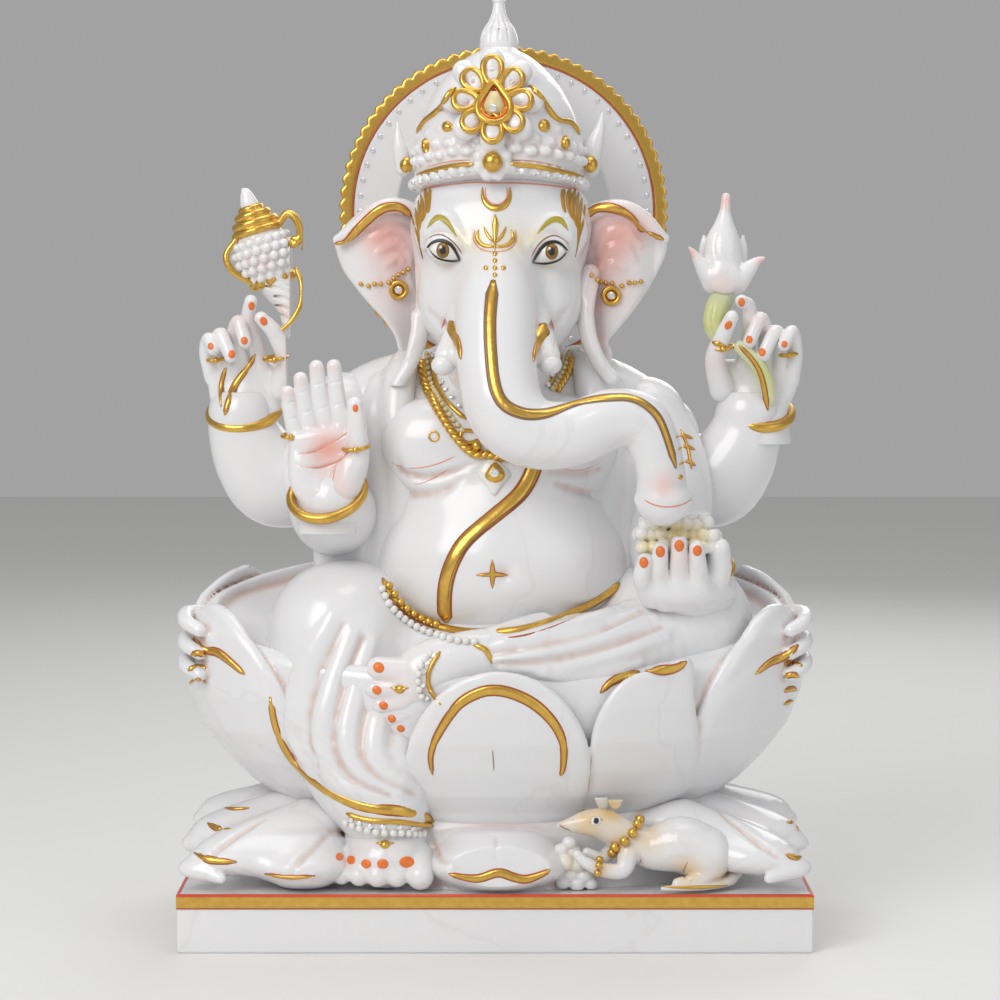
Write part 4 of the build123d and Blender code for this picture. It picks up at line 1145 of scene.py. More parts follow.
def makeSweetsHand():
    clay = Clay((82, -104, 196), (164, -40, 262), hands["step"])
    for base, middle, tip, size in (((104, 215), (98, 226.9), (99.7, 238.9), 5.4),
                                    ((113.3, 213), (109.3, 229.6), (109.9, 246.1), 5.6),
                                    ((124.5, 213.7), (122.5, 232.2), (122.5, 251.4), 5.6),
                                    ((135.8, 217.7), (135.1, 232.2), (134.1, 247.5), 5.4)):
        points = [(base, -74, size + 1.6), (middle, -84, size + 0.6), (tip, -89, size * 0.9)]
        clay.limb([(*at(*p, y), r) for p, y, r in points], 1.3)
    clay.ball(at(122.5, 219, -72), (26, 16, 13), 6)
    clay.ball(at(123.9, 234.9, -66), (24, 12, 14), 6)
    clay.limb(rods((141.1, 219, -66, 11), (149, 232.2, -72, 8), (149, 246.8, -78, 7)), 4)
    clay.limb(rods((129.2, 215, -56, 17), (141.1, 220.3, -50, 19)), 8)
    carved(clay, "sweetsHand", ["hand_front_left"], [(122.5, 241.5, -90, 16, softPink, 0.2)])


def makeSweets():
    rng = random.Random(5)
    clay = Clay((86, -102, 224), (152, -52, 276), 0.6)
    for v, low, high, count, depths in ((248.1, 98, 145.1, 8, (-70, -80)),
                                        (256.1, 96.7, 145.1, 8, (-66, -78)),
                                        (263.4, 99.3, 139.8, 7, (-64, -76)),
                                        (270, 104.6, 137.1, 6, (-66, -76)),
                                        (274.6, 109.3, 130.5, 4, (-68, -72))):
        for y in depths:
            for i in range(count):
                u = low + (high - low) * (i + rng.uniform(-0.15, 0.15)) / (count - 1)
                w = v + rng.uniform(-1, 1)
                clay.ball(at(u, w, y + rng.uniform(-2, 2)), (4.9, 4.9, 4.6), 0.7)
    carved(clay, "sweets", ["sweets"],
           [(121.2, 256.7, -82, 12, yellow, 0.7), (135.8, 254.8, -80, 11, yellow, 0.6),
            (102, 246.8, -82, 11, yellow, 0.7), (109.3, 260.1, -80, 8, yellow, 0.35)])


def makePot():
    step = 0.6
    clay = Clay((-196, -8, 384), (-136, 44, 486), step)
    y = 20
    u, v = (-152.3, 442.9)
    centre = np.array(at(u, v, y))
    lean = math.radians(-17)
    def turned(across, deep, up):
        return (centre[0] + across * math.cos(lean) + up * math.sin(lean), centre[1] + deep,
                centre[2] - across * math.sin(lean) + up * math.cos(lean))
    clay.limb([(*turned(0, 0, 8), 16), (*turned(0, 0, -2), 19.5), (*turned(0, 0, -12), 15)], 2)
    for up, count in ((14, 15), (8, 17), (2, 18), (-4, 18), (-10, 17), (-16, 14)):
        radius = math.sqrt(max(20**2 - (up + 2)**2, 60)) + 0.2
        for i in range(count):
            turn = 2 * math.pi * (i + (0.5 if up % 12 == 2 else 0)) / count
            clay.ball(turned(radius * math.sin(turn), -radius * math.cos(turn), up), (3.1, 3.1, 3.1), 0.7)
    clay.limb([(*turned(0, 0, 33), 6.2), (*turned(0, 0, 39), 4.4), (*turned(0, 0, 46), 1.2)], 1)
    # the twisted stem
    stem = rods((-143.7, 421.7, 16, 11.5), (-137.1, 411.1, 14, 9.5), (-134.5, 399.8, 12, 7.2),
                (-138.4, 389.2, 9, 4.4), (-141.1, 383.9, 8, 2.4))
    clay.limb(stem, 2)
    path = smoothPath(stem, 8)
    for twist in range(4):
        line = []
        for i, p in enumerate(path):
            turn = twist * math.pi / 2 + i * 0.34
            line.append((p[0] + p[3] * math.cos(turn), p[1] + p[3] * math.sin(turn),
                         p[2] - 0.3 * p[3] * math.sin(turn), 1.1))
        clay.limb(line, 1.0, steps=1, cut=True)
    carved(clay, "conchPot", ["conch_pot"],
           [(-139.1, 404.4, 8, 10, softPink, 0.35), (-154.3, 436.2, 0, 14, softPink, 0.12)])
    gilt = Clay((-196, -8, 384), (-128, 44, 486), step)
    for up, radius, size in ((15.5, 15.5, 2.4), (20.5, 12.8, 3.2), (26, 9.6, 3.0), (30.5, 6.6, 2.2)):
        gilt.limb([(*turned(radius * math.sin(a), -radius * math.cos(a), up),
                    size) for a in np.linspace(0, 6.2832, 17)], 1)
    gilt.limb([(*turned(0, 0, 17), 12), (*turned(0, 0, 29), 6)], 1, steps=1)
    for i in range(10):
        turn = 2 * math.pi * i / 10
        gilt.ball(turned(12.5 * math.sin(turn), -12.5 * math.cos(turn), -19), (4.0, 4.0, 4.0), 0.8)
    gilt.limb(rods((-143.1, 461.4, 14, 2.4), (-137.1, 468.7, 13, 2.6), (-131.1, 464.7, 12, 2.6),
                   (-128.5, 454.8, 12, 2.6), (-132.5, 448.2, 12, 2.4),
                   (-137.8, 450.8, 12, 2.0)), 1)
    gilt.limb(rods((-132.5, 452.1, 12, 2.2), (-125.2, 450.8, 12, 2.2), (-126.5, 445.5, 12, 1.6)), 1)
    gilt.limb(rods((-171.5, 450.8, 12, 1.8), (-177.5, 440.9, 11, 2.2), (-173.5, 430.9, 10, 2.2),
                   (-160.9, 423, 10, 2.0)), 1)
    gilt.limb(rods((-131.1, 432.3, 10, 1.5), (-127.8, 421.7, 5, 1.7), (-128.5, 409.7, 3, 1.7),
                   (-133.8, 399.1, 2, 1.6), (-141.7, 391.2, 2, 1.2)), 1)
    carved(gilt, "potGilding", [], material=gold)


def makeBud():
    clay = Clay((118, -6, 372), (184, 44, 486), 0.7)
    clay.limb(rods((150.3, 421.7, 18, 9.5), (151, 433.6, 18, 13), (150.3, 446.8, 18, 12.2),
                   (151, 458.8, 18, 7.4), (151.7, 469.4, 18, 4.0),
                   (152.3, 479.3, 18, 3.0)), 3)
    for line in (rods((144.4, 424.3, 14, 8.5), (136.4, 434.9, 12, 5.0), (131.1, 442.9, 11, 2.2),
                      (128.2, 446.2, 10, 0.9)),
                 rods((159.6, 424.3, 14, 8.5), (167.6, 432.3, 12, 5.4), (173.5, 437.6, 11, 2.6),
                      (177.9, 439.5, 10, 0.9)),
                 rods((140.4, 429.6, 22, 6), (138.4, 444.2, 24, 4), (137.8, 453.5, 24, 1.2)),
                 rods((160.3, 430.9, 22, 6), (162.9, 444.2, 24, 4), (163.6, 453.5, 24, 1.2))):
        clay.limb(line, 1.6)
    clay.ball(at(151.7, 427, 8), (11.5, 5, 11.5), 1.5)
    clay.groove([(146.4, 436.2), (144.4, 448.2), (147.7, 460.1)], 0.9, 0.7, 0.8)
    carved(clay, "lotusBud", ["lotus_bud"],
           [(150.3, 421.7, 8, 12, softPink, 0.4), (150.3, 477.3, 16, 10, pink, 0.4),
            (130.5, 442.9, 10, 7, pink, 0.4),
            (175.5, 437.6, 10, 7, pink, 0.4)])
    stem = Clay((120, -22, 322), (190, 40, 424), 0.7)
    stem.limb(rods((150.3, 413.7, 16, 8), (146.4, 404.4, 12, 8.2), (144.4, 393.8, 8, 6.4),
                   (150.3, 383.2, 6, 5)), 2)
    stem.limb(rods((162.3, 380.6, 2, 4.4), (172.9, 370, 2, 5.2), (179.5, 358.1, 4, 5.0),
                   (182.1, 347.5, 6, 4.0), (180.8, 339.5, 8, 2.0)), 2)
    stem.groove([(143.7, 411.1), (142.4, 397.8), (145.1, 385.9)], 0.9, 0.8, 0.8)
    stem.groove([(166.2, 379.3), (175.5, 367.4), (180.8, 350.1)], 0.9, 0.8, 0.8)
    carved(stem, "budStem", [], [(145.1, 399.1, 4, 40, (0.55, 0.58, 0.16), 0.85),
                                 (175.5, 360.7, 4, 40, (0.60, 0.66, 0.20), 0.85)])


def makeMouse():
    clay = Clay((38, -118, 35), (172, -62, 94), 0.7)
    y = -94
    clay.limb(rods((43.7, 60.7, y - 6, 2.6), (51, 61.4, y - 6, 4.6), (61.6, 62.7, y - 5, 8.0),
                   (70.9, 62, y - 3, 9.5), (80.1, 58, y, 9)), 2)
    clay.limb(rods((77.5, 58.7, y, 9), (89.4, 52.1, y, 11), (106, 45.5, y, 13.5), (123.9, 48.1, y, 18),
                   (139.8, 42.8, y, 17.5)), 5)
    clay.ball(at(141.1, 40.2, -98), (17, 15, 15.5), 4)
    clay.limb(rods((146.4, 30.9, y - 10, 6), (135.8, 24.3, y - 14, 5), (122.5, 21.6, y - 16, 3.6)), 2)
    clay.limb(rods((89.4, 42.8, y - 8, 7), (85.4, 30.9, y - 12, 5.4), (72.2, 30.9, y - 14, 4.6),
                   (60.3, 36.2, y - 14, 3.6), (55, 41.5, y - 13, 2.8)), 2)
    clay.limb(rods((81.5, 49.4, y + 8, 6), (72.2, 38.8, y - 2, 4.6), (61.6, 42.8, y - 6, 3.2)), 2)
    clay.limb(rods((80.5, 75.9, y, 4), (80.5, 81.9, y - 1, 6.0)), 2, flat=((0, 1, 0), 0.4))
    clay.ball(at(80.5, 82.5, -98), (4.4, 2.6, 4.4), 1, cut=True)
    clay.limb(rods((72.2, 74.6, y + 8, 3.4), (70.9, 79.9, y + 8, 4.4)), 2, flat=((0, 1, 0), 0.4))
    clay.limb(rods((160.3, 28.2, y + 4, 5), (155.6, 22.9, y - 6, 3.2), (135.8, 19, y - 17, 2.2),
                   (112.6, 18.3, y - 18, 1.6)), 2)
    clay.groove([(129.2, 37.5), (126.5, 26.9), (135.8, 22.9)], 0.9, 0.7, 0.8)
    clay.groove([(97.4, 41.5), (98, 30.9)], 0.9, 0.7, 0.8)
    spans, axes = clay.window((38, -118, 34), (172, -62, 40))
    clay.carve(spans, np.broadcast_to(axes[2] - 37.2, clay.field[spans].shape).astype(np.float32), 1)
    fur = (0.72, 0.44, 0.045)
    carved(clay, "mouse", ["mouse"], [(61.6, 62.7, -100, 15, fur, 0.9), (77.5, 72, -100, 15, fur, 0.85),
                                      (84.1, 49.4, -104, 12, fur, 0.55),
                                      (72.2, 32.2, -108, 9, fur, 0.7), (102.7, 52.1, -100, 16, fur, 0.5),
                                      (129.2, 29.6, -110, 14, fur, 0.6),
                                      (157, 36.2, -96, 13, fur, 0.6), (149, 26.9, -104, 10, fur, 0.6),
                                      (45, 60.7, -102, 5, (0.62, 0.36, 0.16), 0.6)])
    clay = Clay((38, -118, 35), (92, -74, 74), 0.7)
    rng = random.Random(3)
    for u, v, r in ((49.7, 49.4, 4.6), (44.4, 44.1, 5), (52.3, 42.8, 5.4), (47, 36.2, 6), (55, 34.9, 5.6),
                    (43.7, 29.6, 5.4), (51, 28.2, 6.2),
                      (59.6, 26.9, 5.6), (45.7, 22.3, 4.8), (55, 21, 5), (64.2, 21.6, 4.4)):
        clay.ball(at(u, v, -98 + rng.uniform(-3, 3)), (r, r, r * 0.92), 1.2)
        clay.ball(at(u, v, -90 + rng.uniform(-3, 3)), (r, r, r * 0.92), 1.2)
    spans, axes = clay.window((38, -118, 34), (92, -74, 40))
    clay.carve(spans, np.broadcast_to(axes[2] - 37.2, clay.field[spans].shape).astype(np.float32), 1)
    carved(clay, "mouseSweet", ["mouse_sweet"], [(49.7, 36.2, -104, 12, yellow, 0.25)])


makeCrown()
makeHalo()
makeRaisedHand()
makeRearHands()
makeSweetsHand()
makeSweets()
makePot()
makeBud()
makeMouse()


# Everything that is laid on the stone: gilding, painted lines, clear stones and beads
eye = Vector((0, studio["eyeY"], studio["eyeZ"]))
trees = {}
gildWidth = 1.25


def readStones():
    graph = bpy.context.evaluated_depsgraph_get()
    for name, piece in stones.items():
        trees[name] = BVHTree.FromObject(piece, graph)


def touch(u, v, only=None):
    # the nearest stone along the line of sight: its point and its normal, in mm
    way = (Vector(at(u, v, 0)) - eye).normalized()
    best = None
    for name, tree in trees.items():
        if only and name not in only:
            continue
        place, normal, _, reach = tree.ray_cast(eye * metre, way)
        if place is not None and (best is None or reach < best[2]):
            best = (place / metre, normal, reach)
    if best is None:
        return None
    place, normal, _ = best
    if normal.dot(way) > 0:
        normal = -normal
    return place, normal


def lay(points, only=None, steps=6, jump=7.0, rounds=4):
    # a smooth line laid on the stone, as runs of (place, normal, share of the way along)
    path = smoothPath([(*p, 0, 0) for p in points], steps)
    runs, run = [], []
    for i, p in enumerate(path):
        found = touch(p[0], p[1], only)
        if found is None or (run and (found[0] - run[-1][0]).length > jump):
            runs.append(run)
            run = []
        if found is not None:
            run.append((found[0], found[1], i / (len(path) - 1)))
    runs.append(run)
    out = []
    for run in runs:
        if len(run) < 3:
            continue
        places = np.array([r[0] for r in run])
        normals = np.array([r[1] for r in run])
        for _ in range(rounds):
            places[1:-1] = (places[:-2] + 2 * places[1:-1] + places[2:]) / 4
            normals[1:-1] = (normals[:-2] + 2 * normals[1:-1] + normals[2:]) / 4
        out.append([(Vector(p), Vector(n).normalized(), r[2]) for p, n, r in zip(places, normals, run)])
    return out


def distances(run):
    # how far along the line each of its points lies
    track = [0.0]
    for before, after in zip(run, run[1:]):
        track.append(track[-1] + (after[0] - before[0]).length)
    return track


class Gather:
    # collects many small shapes into one mesh
    def __init__(self):
        self.points = []
        self.faces = []

    def add(self, points, faces):
        start = len(self.points)
        self.points.extend(tuple(p) for p in points)
        self.faces.extend(tuple(start + i for i in f) for f in faces)

    def band(self, run, width, height, lift=0.0, sides=10, ends=0.35):
        rings = []
        count = len(run)
        for i, (place, normal, share) in enumerate(run):
            before, after = run[max(i - 1, 0)][0], run[min(i + 1, count - 1)][0]
            along = (after - before).normalized()
            across = along.cross(normal).normalized()
            up = across.cross(along).normalized()
            if up.dot(normal) < 0:
                up = -up
            wide = np.interp(share, np.linspace(0, 1, len(width)), width) if isinstance(width,
                    (list, tuple)) else width
            close = min(1.0, ends + (1 - ends) * min(i, count - 1 - i) / 2.0)
            ring = []
            for k in range(sides):
                turn = 2 * math.pi * k / sides
                rise = math.sin(turn) * height if math.sin(turn) > 0 else math.sin(turn) * 0.8
                ring.append(place + across * (math.cos(turn) * wide * 0.5 * close) + up
                            * (lift + rise * close))
            rings.append(ring)
        points = [p for ring in rings for p in ring]
        faces = [tuple(range(sides))[::-1], tuple(range((count - 1) * sides, count * sides))]
        for i in range(count - 1):
            for k in range(sides):
                a, b = i * sides + k, i * sides + (k + 1) % sides
                faces.append((a, b, b + sides, a + sides))
        self.add(points, faces)

    def line(self, points, width, height=0.7, lift=0.0, only=None, steps=6, jump=7.0, rounds=4):
        for run in lay(points, only, steps, jump, rounds):
            self.band(run, width, height, lift)

    def rope(self, points, radius, only=None, pitch=5.0, steps=8):
        # two strands wound round each other
        for run in lay(points, only, steps):
            track = distances(run)
            fine = np.arange(0, track[-1], radius * 0.45)
            places = np.array([np.interp(fine, track, [r[0][k] for r in run]) for k in range(3)]).T
            normals = np.array([np.interp(fine, track, [r[1][k] for r in run]) for k in range(3)]).T
            for half in (0, math.pi):
                strand = []
                for i, s in enumerate(fine):
                    place, normal = Vector(places[i]), Vector(normals[i]).normalized()
                    along = Vector(places[min(i + 1, len(fine) - 1)] - places[max(i - 1, 0)]).normalized()
                    across = along.cross(normal)
                    turn = 2 * math.pi * s / pitch + half
                    strand.append((place + across * (math.cos(turn) * radius * 0.5) + normal
                                   * (radius * 0.5 * (1 + math.sin(turn))),
                                   normal, 0))
                if len(strand) > 2:
                    self.tube([(p, radius * 0.62) for p, _, _ in strand])

    def tube(self, track, sides=10, closed=False):
        # a round bar through (place, radius)
        count = len(track)
        rings, side = [], None
        for i, (place, radius) in enumerate(track):
            place = Vector(place)
            before = Vector(track[i - 1][0] if i or closed else track[0][0])
            after = Vector(track[(i + 1) % count][0] if i < count - 1 or closed else track[-1][0])
            along = (after - before).normalized()
            if side is None:
                side = along.orthogonal().normalized()
            side = (side - along * side.dot(along)).normalized()
            other = along.cross(side)
            rings.append([place + side * (math.cos(a) * radius) + other * (math.sin(a) * radius)
                          for a in (2 * math.pi * k / sides for k in range(sides))])
        points = [p for ring in rings for p in ring]
        faces = [] if closed else [tuple(range(sides))[::-1],
                                   tuple(range((count - 1) * sides, count * sides))]
        for i in range(count if closed else count - 1):
            j = (i + 1) % count
            for k in range(sides):
                faces.append((i * sides + k, i * sides + (k + 1) % sides, j * sides + (k + 1) % sides,
                              j * sides + k))
        self.add(points, faces)

    def bead(self, place, radius, stretch=1.0, ways=10):
        place = Vector(place)
        points, faces = [place + Vector((0, 0, radius * stretch))], []
        levels = 6
        for i in range(1, levels):
            slope = math.pi * i / levels
            for k in range(ways):
                turn = 2 * math.pi * k / ways
                points.append(place + Vector((radius * math.sin(slope) * math.cos(turn),
                                              radius * math.sin(slope) * math.sin(turn),
                                              radius * stretch * math.cos(slope))))
        points.append(place - Vector((0, 0, radius * stretch)))
        for k in range(ways):
            faces.append((0, 1 + k, 1 + (k + 1) % ways))
            last = 1 + (levels - 2) * ways
            faces.append((last + (k + 1) % ways, last + k, len(points) - 1))
            for i in range(levels - 2):
                a = 1 + i * ways
                faces.append((a + k, a + ways + k, a + ways + (k + 1) % ways, a + (k + 1) % ways))
        self.add(points, faces)

    def beads(self, spots, radius, only=None, sink=0.35):
        for u, v in spots:
            found = touch(u, v, only)
            if found:
                self.bead(found[0] + found[1] * radius * (1 - sink), radius)

    def chain(self, points, radius, only=None, spread=2.05, sink=0.35, lift=0.0):
        # beads in a row along a line
        for run in lay(points, only, 10):
            track = distances(run)
            for s in np.arange(0, track[-1], radius * spread):
                place = Vector([np.interp(s, track, [r[0][k] for r in run]) for k in range(3)])
                normal = Vector([np.interp(s, track,
                                           [r[1][k] for r in run]) for k in range(3)]).normalized()
                self.bead(place + normal * (radius * (1 - sink) + lift), radius)

    def gem(self, place, normal, radius):
        place, normal = Vector(place), Vector(normal).normalized()
        side = normal.orthogonal().normalized()
        other = normal.cross(side)
        points, faces = [], []
        for height, wide, shift in ((-0.5, 0.75, 0), (0.12, 1.0, 0), (0.46, 0.62, 0.5)):
            for k in range(8):
                turn = 2 * math.pi * (k + shift) / 8
                points.append(place + normal * (height * radius) + side * (math.cos(turn) * wide * radius)
                              +
                              other * (math.sin(turn) * wide * radius))
        for k in range(8):
            n = (k + 1) % 8
            faces.append((k, n, 8 + n, 8 + k))
            faces.append((8 + k, 8 + n, 16 + k))
            faces.append((8 + n, 16 + n, 16 + k))
        faces.append(tuple(range(16, 24)))
        faces.append(tuple(range(8))[::-1])
        self.add(points, faces)

    def gems(self, spots, radius, only=None, lift=0.0):
        for u, v in spots:
            found = touch(u, v, only)
            if found:
                self.gem(found[0] + found[1] * lift, found[1], radius)

    def patch(self, outline, dome=0.0, lift=0.3, only=None, rounds=5, depth=None):
        # a closed shape laid on the stone, raised in its middle by dome
        loop = np.array(outline, float)
        centre = loop.mean(0)
        count = len(loop)
        tops, bottoms = [], []
        for k in range(rounds + 1):
            share = k / rounds
            for a in ([0] if k == 0 else range(count)):
                p = centre + (loop[a] - centre) * share
                found = touch(p[0], p[1], only)
                if found is None:
                    found = (Vector(at(p[0], p[1],
                                       depth if depth is not None else tops[0][1] if tops else -60)),
                             Vector((0, -1, 0)))
                place, normal = found
                if tops and abs(place[1] - tops[0][1]) > 14:
                    place = Vector(at(p[0], p[1], tops[0][1]))
                    normal = Vector((0, -1, 0))
                tops.append(place + normal * (lift + dome * (1 - share**2)))
                bottoms.append(place - normal * 0.8)
        total = len(tops)
        faces = []
        for a in range(count):
            b = (a + 1) % count
            faces.append((0, 1 + a, 1 + b))
            faces.append((total, total + 1 + b, total + 1 + a))
            for k in range(rounds - 1):
                i = 1 + k * count
                faces.append((i + a, i + count + a, i + count + b, i + b))
                faces.append((total + i + a, total + i + b, total + i + count + b, total + i + count + a))
            edge = 1 + (rounds - 1) * count
            faces.append((edge + a, total + edge + a, total + edge + b, edge + b))
        self.add(tops + bottoms, faces)

    def oval(self, u, v, across, up, turn=0.0, dome=0.8, lift=0.2, only=None, sides=18):
        turn = math.radians(turn)
        loop = []
        for k in range(sides):
            a = 2 * math.pi * k / sides
            x, y = across * math.cos(a), up * math.sin(a)
            loop.append((u + x * math.cos(turn) - y * math.sin(turn),
                         v + x * math.sin(turn) + y * math.cos(turn)))
        self.patch(loop, dome, lift, only, 4)

    def piece(self, name, material, nodes=(), slot="gilding", smooth=True):
        if not self.points:
            print("nothing to make for", name)
            return None
        data = bpy.data.meshes.new(name)
        data.from_pydata([tuple(c * metre for c in p) for p in self.points], [], self.faces)
        data.validate()
        data.update()
        piece = finishPiece(name, data, material)
        data.polygons.foreach_set("use_smooth", [smooth] * len(data.polygons))
        settle(piece, nodes)
        print("laid", name, len(self.points))
        return piece


def gilded(name, lines, nodes=(), outline=1.5, rim="rust", only=None, height=1.0, jump=7.0):
    # gold lines over a slightly wider painted one; each line is (points, width)
    upper, under = Gather(), Gather()
    for points, width in lines:
        width = [w * gildWidth for w in width] if isinstance(width, (list, tuple)) else width * gildWidth
        wider = [w + outline for w in width] if isinstance(width, (list, tuple)) else width + outline
        upper.line(points, width, height, 0.25, only, jump=jump)
        if outline:
            under.line(points, wider, 0.45, 0.05, only, jump=jump)
    upper.piece(name, gold, nodes)
    if outline:
        under.piece(name + ".edge", paints[rim], (), "marble")


def painted(name, colour, lines, height=0.35, only=None):
    gather = Gather()
    for points, width in lines:
        gather.line(points, width, height, 0.05, only)
    gather.piece(name, paints[colour], (), "marble")


readStones()


def dressCrown():
    loops, floors, stonesCut = Gather(), Gather(), Gather()
    for loop in flowerPetals():
        closed = closedPath(loop, 3)
        loops.tube([(at(u, v, flowerDepth(v) - 2.6), 1.9) for u, v in closed], closed=True)
        floors.tube([(at(u + (c[0] - u) * 0.16, v + (c[1] - v) * 0.16, flowerDepth(v) - 1.6), 0.9)
                     for c in [np.mean(closed, axis=0)] for u, v in closed], closed=True)
        u, v = np.mean(closed, axis=0)
        stonesCut.gem(at(u, v, flowerDepth(v) - 1.8), (0, -1, 0.4), 1.7)
    drop = closedPath([(-0.7, 554.8), (5.3, 548.2), (9.9, 540.9), (9.3, 533.6), (3.3, 529), (-4.6, 529),
                       (-10.6, 533.6), (-11.3, 540.9), (-6.6, 548.2)], 4)
    loops.tube([(at(u, v, flowerDepth(v) - 4.0), 2.3) for u, v in drop], closed=True)
    u, v = np.mean(drop, axis=0)
    floors.tube([(at(a + (u - a) * 0.26, b + (v - b) * 0.26, flowerDepth(b) - 3.4), 0.8) for a,
                 b in drop], closed=True)
    loops.piece("crownFlower", gold, ["crown_flower"])
    floors.piece("crownFlower.edge", paints["orange"], (), "marble")
    white = Gather()
    white.tube([(at(u, v + dv, flowerDepth(v) - 2.0), r) for dv,
                r in ((-7, 4), (-4, 6.5), (0, 7), (4, 5.2), (9, 2.4))], sides=18)
    white.piece("crownFlower.heart", paints["cream"], (), "marble")
    stonesCut.gem(at(u - 0.6, v - 2.0, flowerDepth(v) - 9.4), (0, -1, 0.2), 2.6)
    stonesCut.piece("flowerStones", crystal, ["flower_stones"], "clear_stone", smooth=False)
    gilt = Gather()
    for side in ([(-25.5, 550.8), (-30.5, 546.8), (-34.4, 539.8), (-38.7, 534.9), (-45.7, 529.6),
                  (-50.3, 522.6), (-55.9, 516.4)],
                 [(22.2, 552.1), (27.2, 548.2), (31.1, 543.9), (36.4, 534.9), (42.4, 529.6),
                  (49.7, 528.7), (55.6, 520.5)]):
        gilt.line(side, [2.4, 4.2, 2.8, 5.0, 3.0, 4.0, 2.4], 2.0, 0.3, ("crown",), jump=20)
    for u, v, a, b in ((-31.5, 525.6, 3.6, 3.6), (-45.7, 513.1, 2.7, 5.0), (32.3, 526.3, 4.0, 4.2),
                       (46.2, 515.1, 3.0, 4.7)):
        gilt.oval(u, v, a, b, 0, 2.6, 0.3, ("crown",))
    for u, v, r in ((-58.3, 500.5, 4.6), (62.9, 500.8, 4.8)):
        found = touch(u, v, ("crown",))
        gilt.bead(found[0] if found else at(u, v, -8), r, 1.15, 14)
    gilt.line([(-55.6, 492.5), (-41.7, 496.5), (-28.5, 499.5), (-13.9, 501)], 3.6, 1.4, 0.6, ("crown",),
              jump=12)
    gilt.line([(9.9, 501.1), (24.5, 499.6), (40.4, 496.8), (57.6, 492.5)], 3.6, 1.4, 0.6, ("crown",),
              jump=12)
    for u, v, r in ((3.3, 570, 3.4), (9.3, 569.4, 3.6), (15.2, 568.7, 3.0), (12.6, 565.4, 2.4),
                    (-3.3, 570.7, 2.8)):
        gilt.bead(at(u, v, -5), r)
    gilt.piece("crownGilding", gold)
    boss = Gather()
    u, v = crown["boss"]
    found = touch(u, v, ("crown",))
    place = found[0] if found else Vector(at(u, v, -62))
    boss.bead(place + Vector((0, -0.6, 0)), 6.7, 1.0, 20)
    boss.piece("crownBoss", gold, ["crown_boss"])
    clear = Gather()
    for row in ([(-54, 489.2), (-49.3, 490.1), (-43.9, 491.7), (-37.8, 492.7), (-30.1, 493.7),
                 (-21.7, 494.7)],
                [(17.6, 496.7), (26.8, 495.2), (35.4, 494.2), (42.7, 493.7), (48, 492.1), (52.3, 490.5),
                 (56.3, 489.4)]):
        clear.gems(row, 1.9, ("crown",), 0.4)
    clear.piece("crownStones", crystal, ["crown_stones"], "clear_stone", smooth=False)
    painted("crownLines", "coral", [
        ([(-55.6, 483.5), (-45.7, 485.2), (-35.8, 486.6), (-15.2, 489.2), (-1.7, 488.6), (16.6, 488.6),
          (35.1, 487.2), (47, 485.6), (58.3, 483.5)], 1.5),
        ([(-55.6, 495.8), (-43.1, 499.8), (-28.5, 503.1), (-15.2, 503.8)], 0.8),
        ([(11.3, 503.8), (25.8, 503.1), (40.4, 499.8), (57.6, 495.8)], 0.8)], only=("crown", "head"))


def dressHalo():
    cx, cz = halo["centre"]
    clear = Gather()
    for i in range(halo["stones"]):
        turn = 2 * math.pi * (i + 0.5) / halo["stones"]
        place = (cx + halo["stoneCircle"] * math.sin(turn), halo["front"] - 0.2,
                 cz + halo["stoneCircle"] * math.cos(turn))
        clear.gem(place, (0, -1, 0), 1.9)
    clear.piece("haloStones", crystal, ["halo_stones"], "clear_stone", smooth=False)
    line = Gather()
    loop = [(cx + 102.2 * math.sin(a), halo["front"] - 0.1,
             cz + 102.2 * math.cos(a)) for a in np.linspace(0, 2 * math.pi, 160, endpoint=False)]
    line.tube([(p, 0.75) for p in loop], 8, closed=True)
    line.piece("haloLine", paints["rust"], (), "marble")


